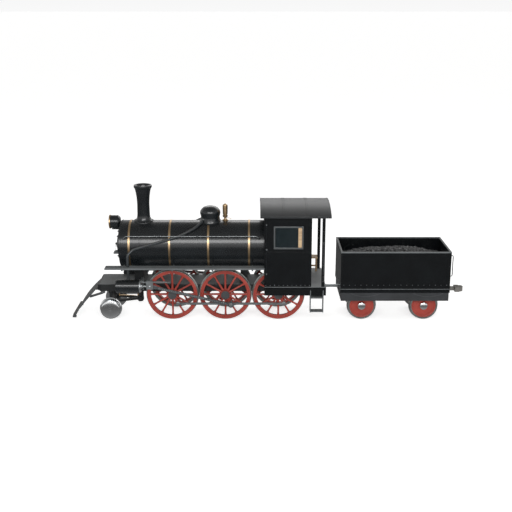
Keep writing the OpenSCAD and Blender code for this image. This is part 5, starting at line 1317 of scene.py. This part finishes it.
def wood(name, light, dark, grain_mm=14.0):
    """Planed hardwood: long wavering grain along X, pores as fine dashes, thin oil finish."""
    material, tree, shader, place = surface(name)
    along = add(tree, "Mapping", {"Vector": place.outputs["Object"],
                                  "Scale": (1.2, 1000.0 / grain_mm, 1000.0 / grain_mm)})
    waver = add(tree, "TexNoise", {"Vector": along.outputs["Vector"], "Scale": 1.0, "Detail": 5.0,
                                   "Distortion": 0.6})
    pores = add(tree, "Mapping", {"Vector": place.outputs["Object"], "Scale": (30.0, 420.0, 420.0)})
    dashes = add(tree, "TexNoise", {"Vector": pores.outputs["Vector"], "Scale": 1.0, "Detail": 2.0})
    tone = add(tree, "ValToRGB", {"Fac": waver.outputs["Fac"]})
    tone.color_ramp.elements[0].position, tone.color_ramp.elements[0].color = 0.32, srgb(dark)
    tone.color_ramp.elements[1].position, tone.color_ramp.elements[1].color = 0.66, srgb(light)
    worn = add(tree, "MapRange", {"Value": dashes.outputs["Fac"], "To Min": 0.42, "To Max": 0.62})
    bump = add(tree, "Bump", {"Height": dashes.outputs["Fac"], "Strength": 0.2, "Distance": 0.001})
    linked(tree, shader, tone.outputs["Color"], worn.outputs["Result"], bump.outputs["Normal"])
    return material


# Oiled ash planks: pale tan with brown grain lines a centimetre or so apart.
bench_wood = wood("oiled_ash", "#c4aa84", "#96775a")
sash_x = window[1].x - 0.034
sash_rail = block("window_sash_rails", (sash_x - 0.105, -0.916, window[0].z + 0.036),
                  (sash_x - 0.002, -0.9045, window[1].z - 0.036), 0.004, 2)
fitted(both_sides(sash_rail), "engine", "bench_wood", bench_wood)

# ---------------------------------------------------------------------------------------------
# Cab roof
# Rolled sheet in three lengths, lapped and riveted across, with a rain strip along each edge and
# bent angle irons below; grey paint that has chalked on top.
# ---------------------------------------------------------------------------------------------
# Dark grey roof enamel, half matt, so that it pales where it is seen along its slope.
roof_paint = painted("grey_roof_enamel", "#26282a", "#202224", 0.38, 0.02, dust="#77756f",
                     dusty=0.10, peel_mm=40.0, peel=0.06)
low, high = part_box("cab_roof")
roof_w = high.y
roof_rise = 0.200
roof_t = 0.040
roof_r = (roof_w ** 2 + roof_rise ** 2) / (2 * roof_rise)


def roof_top(y):
    """Height of the roof's outer face."""
    return high.z - roof_r + math.sqrt(roof_r ** 2 - y * y)


def arched(name, x0, x1, top, thick, half_width, cuts=32, bevel=0.002):
    """A strip bent over the roof's arch, its top a given height above the roof's outer face."""
    strip = block(name, (x0, -half_width, -thick), (x1, half_width, 0), bevel, 1)
    bent = (bpy.ops.mesh.subdivide, {"number_cuts": cuts})
    shape(strip, "EDGE", lambda a, b: abs(a.y - b.y) > half_width, bent)
    for point in strip.data.vertices:
        point.co.z += roof_top(point.co.y) + top
    return strip


roof_pieces = [arched("roof_sheet", low.x, high.x, 0.0, 0.012, roof_w, 48, 0.003),
               arched("front_hoop", low.x, low.x + 0.030, 0.003, roof_t, roof_w - 0.002),
               arched("rear_hoop", high.x - 0.030, high.x, 0.003, roof_t, roof_w - 0.002)]
third = (high.x - low.x) / 3
for x in (low.x + third, low.x + 2 * third):
    roof_pieces.append(arched("lap_strip", x - 0.035, x + 0.035, 0.004, 0.008, roof_w - 0.004))
for x in spaced(low.x + 0.30, high.x - 0.30, 0.38):
    roof_pieces.append(arched("roof_iron", x - 0.018, x + 0.018, -0.011, roof_t - 0.013,
                              roof_w - 0.02))
edge_z = roof_top(roof_w)
for side in (-1, 1):
    gutter = tube("gutter", [(low.x + 0.002, side * (roof_w - 0.006), edge_z - 0.022),
                             (high.x - 0.002, side * (roof_w - 0.006), edge_z - 0.022)], 0.016)
    roof_pieces.append(gutter)
    roof_pieces.append(block("edge_iron", (low.x, side * roof_w - 0.006 - side * 0.006,
                                           edge_z - 0.060),
                             (high.x, side * roof_w + 0.006 - side * 0.006, edge_z - 0.004), 0.002))
roof_rivets = []
for x in (low.x + third - 0.022, low.x + third + 0.022, low.x + 2 * third - 0.022,
          low.x + 2 * third + 0.022, low.x + 0.015, high.x - 0.015):
    for y in spaced(-roof_w + 0.05, roof_w - 0.05, 0.09):
        roof_rivets.append(at(x, y, roof_top(y) + 0.003)
                           @ Matrix.Rotation(-math.asin(y / roof_r), 4, "X"))
roof_pieces.append(repeated("roof_rivets", rivet("roof_rivet", 0.007, 0.005, (0, 0, 1)),
                            roof_rivets))
fitted(joined("roof_sheets", roof_pieces), "engine", "roof_paint", roof_paint, "cab_roof")

# ---------------------------------------------------------------------------------------------
# Cab bench
# Four oiled ash planks screwed to battens, on two square legs.
# ---------------------------------------------------------------------------------------------
low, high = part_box("cab_seat")
plank_w = (high.y - low.y - 3 * 0.006) / 4
bench = [block(f"plank.{i}", (low.x, low.y + i * (plank_w + 0.006), high.z - 0.034),
               (high.x, low.y + i * (plank_w + 0.006) + plank_w, high.z), 0.004, 2)
               for i in range(4)]
bench += [block(f"batten.{x}", (x, low.y + 0.02, high.z - 0.066), (x + 0.05, high.y - 0.004,
                                                                   high.z - 0.033), 0.003)
          for x in (1.080, 1.336)]
bench += [block(f"leg.{x}", (x, 0.600, 1.037), (x + 0.05, 0.650, high.z - 0.064), 0.004)
          for x in (1.080, 1.336)]
bench += [block("stretcher", (1.120, 0.615, 1.180), (1.345, 0.635, 1.230), 0.003)]
fitted(joined("bench_planks", bench), "engine", "bench_wood", bench_wood, "cab_seat")

# ---------------------------------------------------------------------------------------------
# Drawbar
# A forged flat bar with an eye at each end, dropped over a pin on the engine and one on the tender.
# ---------------------------------------------------------------------------------------------
fitted(bevelled("drawbar_forging", "drawbar", 0.005), "drawbar", "rod_steel", rod_steel, "drawbar")

# ---------------------------------------------------------------------------------------------
# Tender body
# A riveted plate box, open above, painted black with its top angle in grey; below it are the
# platform's black edge and a dark grey skirt that covers the springs.
# ---------------------------------------------------------------------------------------------
skirt_paint = painted("dark_grey_skirt_paint", "#35373a", "#2c2e30", 0.40, 0.08, dusty=0.3,
                      peel_mm=8.0, peel=0.2)
fitted(bevelled("tender_side_sheets", "tender_body", 0.003), "tender", "gloss_black", sheet_black,
       "tender_body")
fitted(bevelled("tender_skirt_plates", "tender_skirt", 0.003), "tender", "skirt_paint", skirt_paint,
       "tender_skirt")
low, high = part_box("tender_body")
tx0, tx1, ty, tz0, tz1 = low.x, high.x, high.y, low.z, high.z
wall = 0.040
top_irons = [both_sides(block("side_top", (tx0 - 0.004, -ty - 0.004, tz1 - 0.030),
                              (tx1 + 0.004, -ty + wall + 0.006, tz1 + 0.004), 0.007, 3))]
top_irons += [block("end_top", (x - 0.004, -ty + 0.004, tz1 - 0.030),
                    (x + wall + 0.006, ty - 0.004, tz1 + 0.0035), 0.007, 3)
                    for x in (tx0, tx1 - wall - 0.002)]
fitted(joined("tender_top_irons", top_irons), "tender", "skirt_paint", deck_paint)


def strip_round(name, proud, z0, z1, bevel):
    """A strip right round the body: a bar along each side and one across each end."""
    return joined(name, [
        both_sides(block("side_strip", (tx0 - proud, -ty - proud, z0), (tx1 + proud, -ty + 0.002,
                                                                        z1), bevel)),
        block("front_strip", (tx0 - proud, -ty + 0.002, z0), (tx0 + 0.002, ty - 0.002, z1), bevel),
        block("rear_strip", (tx1 - 0.002, -ty + 0.002, z0), (tx1 + proud, ty - 0.002, z1), bevel)])


beading = strip_round("tender_foot_beading", 0.006, tz0 - 0.006, tz0 + 0.010, 0.003)
fitted(beading, "tender", "skirt_paint", deck_paint)
# Black platform edge between the body's foot and the skirt.
platform_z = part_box("tender_skirt")[1].z - 0.106
edging = strip_round("tender_platform_edge", 0.003, platform_z + 0.002, tz0 - 0.006, 0.002)
fitted(edging, "tender", "gloss_black", sheet_black)
foot_rivets = [(x, -ty, tz0 + 0.115) for x in spaced(tx0 + 0.09, tx1 - 0.09, 0.155)]
pale_rivets = both_sides(rivets("side_foot_rivets", 0.0095, 0.007, (0, -1, 0), foot_rivets))
fitted(pale_rivets, "tender", "gloss_black", window_metal)
foot_rivets = [(x, -ty, z) for x in (tx0 + 0.03, tx1 - 0.03) for z in spaced(tz0 + 0.18, tz1 - 0.10,
                                                                             0.15)]
end_rivets = [(tx0, y, z) for y in spaced(-ty + 0.05, ty - 0.05, 0.145) for z in (tz0 + 0.115,
                                                                                  tz1 - 0.08)]
rear_rivets = [(tx1, y, z) for _, y, z in end_rivets]
body_rivets = [both_sides(rivets("side_rivets", 0.009, 0.006, (0, -1, 0), foot_rivets)),
               rivets("front_rivets", 0.009, 0.006, (-1, 0, 0), end_rivets),
               rivets("rear_rivets", 0.009, 0.006, (1, 0, 0), rear_rivets)]
fitted(joined("tender_rivets", body_rivets), "tender", "gloss_black", sheet_black)
tender_xs, tender_z = (2.552, 4.265), 0.407
skirt_y = ty - 0.006
arc_span, arc_sag, arc_top = 0.78, 0.09, 0.825
arc_places = [(x + 0.07 + t * arc_span / 2, -skirt_y, arc_top - arc_sag * (1 - t * t))
              for x in tender_xs for t in spaced(-1.0, 1.0, 2.0 / 17)]
arcs = both_sides(rivets("skirt_arcs", 0.0080, 0.006, (0, -1, 0), arc_places))
# Dull galvanised rivet heads on the skirt: pale against the dark paint.
fitted(arcs, "tender", "skirt_paint", window_metal)
skirt_edge = both_sides(block("skirt_edge", (tx0 + 0.022, -skirt_y - 0.004, 0.616),
                              (tx1 - 0.022, -skirt_y + 0.002, 0.636), 0.002))
fitted(skirt_edge, "tender", "skirt_paint", skirt_paint)

# ---------------------------------------------------------------------------------------------
# Coal
# Broken lumps of hard coal from fist size to head size, heaped highest in the middle.
# ---------------------------------------------------------------------------------------------
# Hard coal: brown-black, with bright glassy faces among dull ones.
coal_black, tree, shader, place = surface("hard_coal")
cells = add(tree, "TexVoronoi", {"Vector": place.outputs["Object"], "Scale": 22.0})
split = add(tree, "SeparateColor", {"Color": cells.outputs["Color"]})
faces = add(tree, "MapRange", {"Value": split.outputs["Red"], "To Min": 0.12, "To Max": 0.60})
grime = add(tree, "TexNoise", {"Vector": place.outputs["Object"], "Scale": 60.0, "Detail": 5.0})
tone = add(tree, "Mix", {"Factor": grime.outputs["Fac"], "A": srgb("#0f0f10"),
                         "B": srgb("#5a5a5a")}, data_type="RGBA")
rough = add(tree, "Bump", {"Height": grime.outputs["Fac"], "Strength": 0.5, "Distance": 0.004})
linked(tree, shader, tone.outputs["Result"], faces.outputs["Result"], rough.outputs["Normal"])
low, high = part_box("coal")
heap_x = (low.x + high.x) / 2


def heap_top(x, y):
    """Height of the coal's surface: level at the walls, heaped in the middle, uneven all over."""
    along = abs(x - heap_x) / ((high.x - low.x) / 2)
    across = abs(y) / high.y
    swell = max(0.0, 1 - along ** 2.8) * max(0.0, 1 - 0.9 * across ** 2)
    return high.z - 0.340 + 0.300 * swell + 0.030 * noise.noise(Vector((x * 3.1, y * 3.1, 0.0)))


bpy.ops.object.select_all(action="DESELECT")
bpy.ops.mesh.primitive_grid_add(x_subdivisions=90, y_subdivisions=50, size=1)
heap = named("coal_heap")
for point in heap.data.vertices:
    x = heap_x + point.co.x * (high.x - low.x - 0.004)
    y = point.co.y * (high.y - low.y - 0.004)
    point.co = Vector((x, y, heap_top(x, y) - 0.03
                       + 0.012 * noise.noise(Vector((x * 25, y * 25, 1.0)))))
sides = (bpy.ops.mesh.extrude_region_move, {"TRANSFORM_OT_translate": {"value": (0, 0, -0.10)}})
shape(heap, "FACE", lambda place, normal: True, sides)
outward = (bpy.ops.mesh.normals_make_consistent, {"inside": False})
shape(heap, "VERT", lambda place: True, outward)
bpy.ops.object.select_all(action="DESELECT")
bpy.ops.mesh.primitive_ico_sphere_add(subdivisions=2, radius=1)
lump_kinds = [named("lump")]
for i in range(5):
    lump_kinds.append(copied(lump_kinds[0], f"lump.{i}", Matrix.Identity(4)))
for i, kind in enumerate(lump_kinds):
    for point in kind.data.vertices:
        jag = noise.cell(point.co * 1.7 + Vector((i * 7.1, 0, 0)))
        point.co *= 0.72 + 0.42 * jag + 0.10 * noise.noise(point.co * 3 + Vector((i, i, i)))
lumps = []
for i in range(1500):
    x = random.uniform(low.x + 0.05, high.x - 0.05)
    y = random.uniform(low.y + 0.05, high.y - 0.05)
    size = random.uniform(0.034, 0.080)
    turn = Matrix.Rotation(random.uniform(0, 6.28), 4, "Z") @ Matrix.Rotation(random.uniform(0,
        6.28), 4, "X")
    squeeze = Matrix.Diagonal((size * random.uniform(0.8, 1.25), size * random.uniform(0.7, 1.1),
                               size * 0.8, 1))
    lumps.append(copied(lump_kinds[i % 6], f"coal.{i}",
                        at(x, y, heap_top(x, y) - size * 0.2) @ turn @ squeeze))
for kind in lump_kinds:
    bpy.data.objects.remove(kind)
fitted(joined("coal_lumps", [heap] + lumps), "tender", "coal", coal_black, "coal", angle=15)

# ---------------------------------------------------------------------------------------------
# Tender handrails and coupler
# Bright steel rods on the rear end, and a cast iron coupler head with its pin and chain lug.
# ---------------------------------------------------------------------------------------------
low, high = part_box("tender_handrails")
rail_out = high.x - 0.016
bars = []
for y in (-0.600, 0.600):
    bars.append(tube(f"tender_rail.{y}", [(tx1 - 0.002, y, low.z + 0.016),
                                          (rail_out, y, low.z + 0.016),
                                         (rail_out, y, high.z - 0.016),
                                         (tx1 - 0.002, y, high.z - 0.016)], 0.013, bend=0.04))
    for z in (low.z + 0.016, high.z - 0.016):
        bars.append(turned("rail_foot", "X", (tx1, y, z), [
            (0, 0), (0, 0.026), (0.008, 0.026), (0.014, 0.018), (0.020, 0.0135), (0.020, 0)],
            steps=24))
fitted(joined("tender_rail_rods", bars), "tender", "rail_steel", rail_steel, "tender_handrails")
fitted(bevelled("coupler_casting", "tender_coupler", 0.006), "tender", "coupler_iron", coupler_iron,
       "tender_coupler")
pad_bolts = repeated("coupler_bolts", hex_bolt("coupler_bolt", 0.034, 0.016, (1, 0, 0)), [
    at(tx1 + 0.030, y, 0.717 + z) for y in (-0.095, 0.095) for z in (-0.085, 0.085)])
fitted(pad_bolts, "tender", "coupler_iron", coupler_iron)

# ---------------------------------------------------------------------------------------------
# Tender wheels
# Cast discs in red enamel with shrunk-on steel tyres and polished domed hub caps.
# ---------------------------------------------------------------------------------------------
tread_r = 0.380
low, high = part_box("tender_wheels_1")
disc_r = (high.x - low.x) / 2
disc = turned("disc", "Y", (0, 0, 0), [
    (-wheel_back, 0.03), (-wheel_back - 0.012, disc_r - 0.002), (-wheel_back - 0.014, disc_r),
    (-wheel_face + 0.014, disc_r),
    (-wheel_face + 0.012, disc_r - 0.003), (-wheel_face + 0.012, disc_r - 0.024),
    (-wheel_face + 0.018, disc_r - 0.034),
    (-wheel_face + 0.033, disc_r - 0.046), (-wheel_face + 0.034, disc_r - 0.070),
    (-wheel_face + 0.028, tread_r * 0.42),
    (-wheel_face + 0.024, tread_r * 0.345), (-wheel_face + 0.010, tread_r * 0.325),
    (-wheel_face + 0.004, tread_r * 0.31), (-wheel_face + 0.004, 0)], steps=96)
hub_cap = turned("hub_cap", "Y", (0, 0, 0), [
    (-wheel_face + 0.006, 0), (-wheel_face + 0.006, tread_r * 0.305),
    (-wheel_face - 0.004, tread_r * 0.300)] + [
    (-wheel_face - 0.010 - 0.036 * math.sin(t), tread_r * 0.285 * math.cos(t)) for t in
    [math.pi / 2 * i / 8 for i in range(8)]] + [(-wheel_face - 0.046, 0)], steps=56)
cap_bolts = repeated("cap_bolts", hex_bolt("cap_bolt", 0.018, 0.008, (0, -1, 0)), [
    about("Y", 60 * i) @ at(0, -wheel_face + 0.030, 0.165) for i in range(6)])
tyre = turned("tyre", "Y", (0, 0, 0), [
    (y, r - 0.700 + tread_r if r > 0.69 else (r - 0.652) + disc_r + 0.0003) for y,
    r in tyre_profile], steps=128)
for i, x in enumerate(tender_xs, 1):
    there = at(x, 0, tender_z)
    body = f"tender_axle_{i}"
    for master, title, slot, material, nodes in (
            (disc, "tender_discs", "wheel_red", wheel_red, (f"tender_wheels_{i}",)),
            (cap_bolts, "tender_disc_bolts", "wheel_red", wheel_red, ()),
            (hub_cap, "tender_hub_caps", "polished_steel", polished_steel, ()),
            (tyre, "tender_tyre_rings", "tyre_steel", tyre_steel, (f"tender_tyres_{i}",))):
        title = f"{title}_{i}"
        pair = joined(title, [copied(master, title, there), copied(master, title + ".other",
                                                                   there @ MIRROR)])
        fitted(pair, body, slot, material, *nodes)
    shaft = small_shaft(f"tender_shaft_{i}", x, tender_z)
    fitted(shaft, body, "wheel_red", rod_steel)
for master in (disc, cap_bolts, hub_cap, tyre):
    bpy.data.objects.remove(master)

# ---------------------------------------------------------------------------------------------
# Studio
# A pale seamless floor, broad soft lamps and the camera at the left side, a little above the roof.
# ---------------------------------------------------------------------------------------------
floor_paper, tree, shader, place = surface("studio_paper")
tone = add(tree, "TexNoise", {"Vector": place.outputs["Object"], "Scale": 0.4, "Detail": 2.0})
pale = add(tree, "Mix", {"Factor": tone.outputs["Fac"], "A": srgb("#f6f6f5"), "B": srgb("#f1f1f0")},
           data_type="RGBA")
tree.links.new(pale.outputs["Result"], shader.inputs["Base Color"])
shader.inputs["Roughness"].default_value = 0.9
shader.inputs["Emission Color"].default_value = srgb("#ffffff")
shader.inputs["Emission Strength"].default_value = 0.66
bpy.ops.mesh.primitive_plane_add(size=6000, location=(0, 0, 0.0))
floor = named("studio_floor")
floor.data.materials.append(floor_paper)
floor.visible_glossy = False
floor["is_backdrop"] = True

# The air is white at the horizon and falls off to grey above and below, as in a draped studio.
world = bpy.data.worlds.new("studio_air")
world.use_nodes = True
air = world.node_tree
sky = air.nodes["Background"]
way = add(air, "TexCoord", {})
height = add(air, "SeparateXYZ", {"Vector": way.outputs["Generated"]})
level = add(air, "MapRange", {"Value": height.outputs["Z"], "From Min": -1.0, "From Max": 1.0})
fall = add(air, "ValToRGB", {"Fac": level.outputs["Result"]})
stops = fall.color_ramp.elements
stops[0].position, stops[0].color = 0.0, srgb("#a0a0a0")
stops[1].position, stops[1].color = 1.0, srgb("#747474")
for position, code in ((0.125, "#8a8a8a"), (0.37, "#5c5c5c"), (0.46, "#606060"), (0.495, "#ffffff"),
                       (0.56, "#ececec"), (0.72, "#bababa")):
    stop = stops.new(position)
    stop.color = srgb(code)
air.links.new(fall.outputs["Color"], sky.inputs["Color"])
sky.inputs["Strength"].default_value = 0.95
bpy.context.scene.world = world
bpy.context.scene.view_settings.view_transform = "Standard"


def softbox(name, place, aim, width, height, power):
    """A rectangular area lamp that faces a point."""
    data = bpy.data.lights.new(name, "AREA")
    data.shape = "RECTANGLE"
    data.size = width
    data.size_y = height
    data.energy = power
    lamp = bpy.data.objects.new(name, data)
    bpy.context.scene.collection.objects.link(lamp)
    lamp.location = place
    lamp.rotation_euler = (Vector(aim) - Vector(place)).to_track_quat("-Z", "Y").to_euler()
    return lamp


softbox("key_softbox", (-0.5, -27.0, 14.5), (0.0, 0.0, 1.5), 30.0, 7.0, 4700.0)
softbox("rear_softbox", (2.0, 9.0, 8.0), (0.0, 0.0, 1.5), 14.0, 4.0, 300.0)

camera_data = bpy.data.cameras.new("side_camera")
camera_data.lens = 63.28
camera_data.sensor_width = 36.0
camera = bpy.data.objects.new("side_camera", camera_data)
bpy.context.scene.collection.objects.link(camera)
camera.location = (-0.362, -24.170, 8.437)
camera.rotation_euler = (math.radians(74.34), 0.0, 0.0)
bpy.context.scene.camera = camera

low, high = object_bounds()
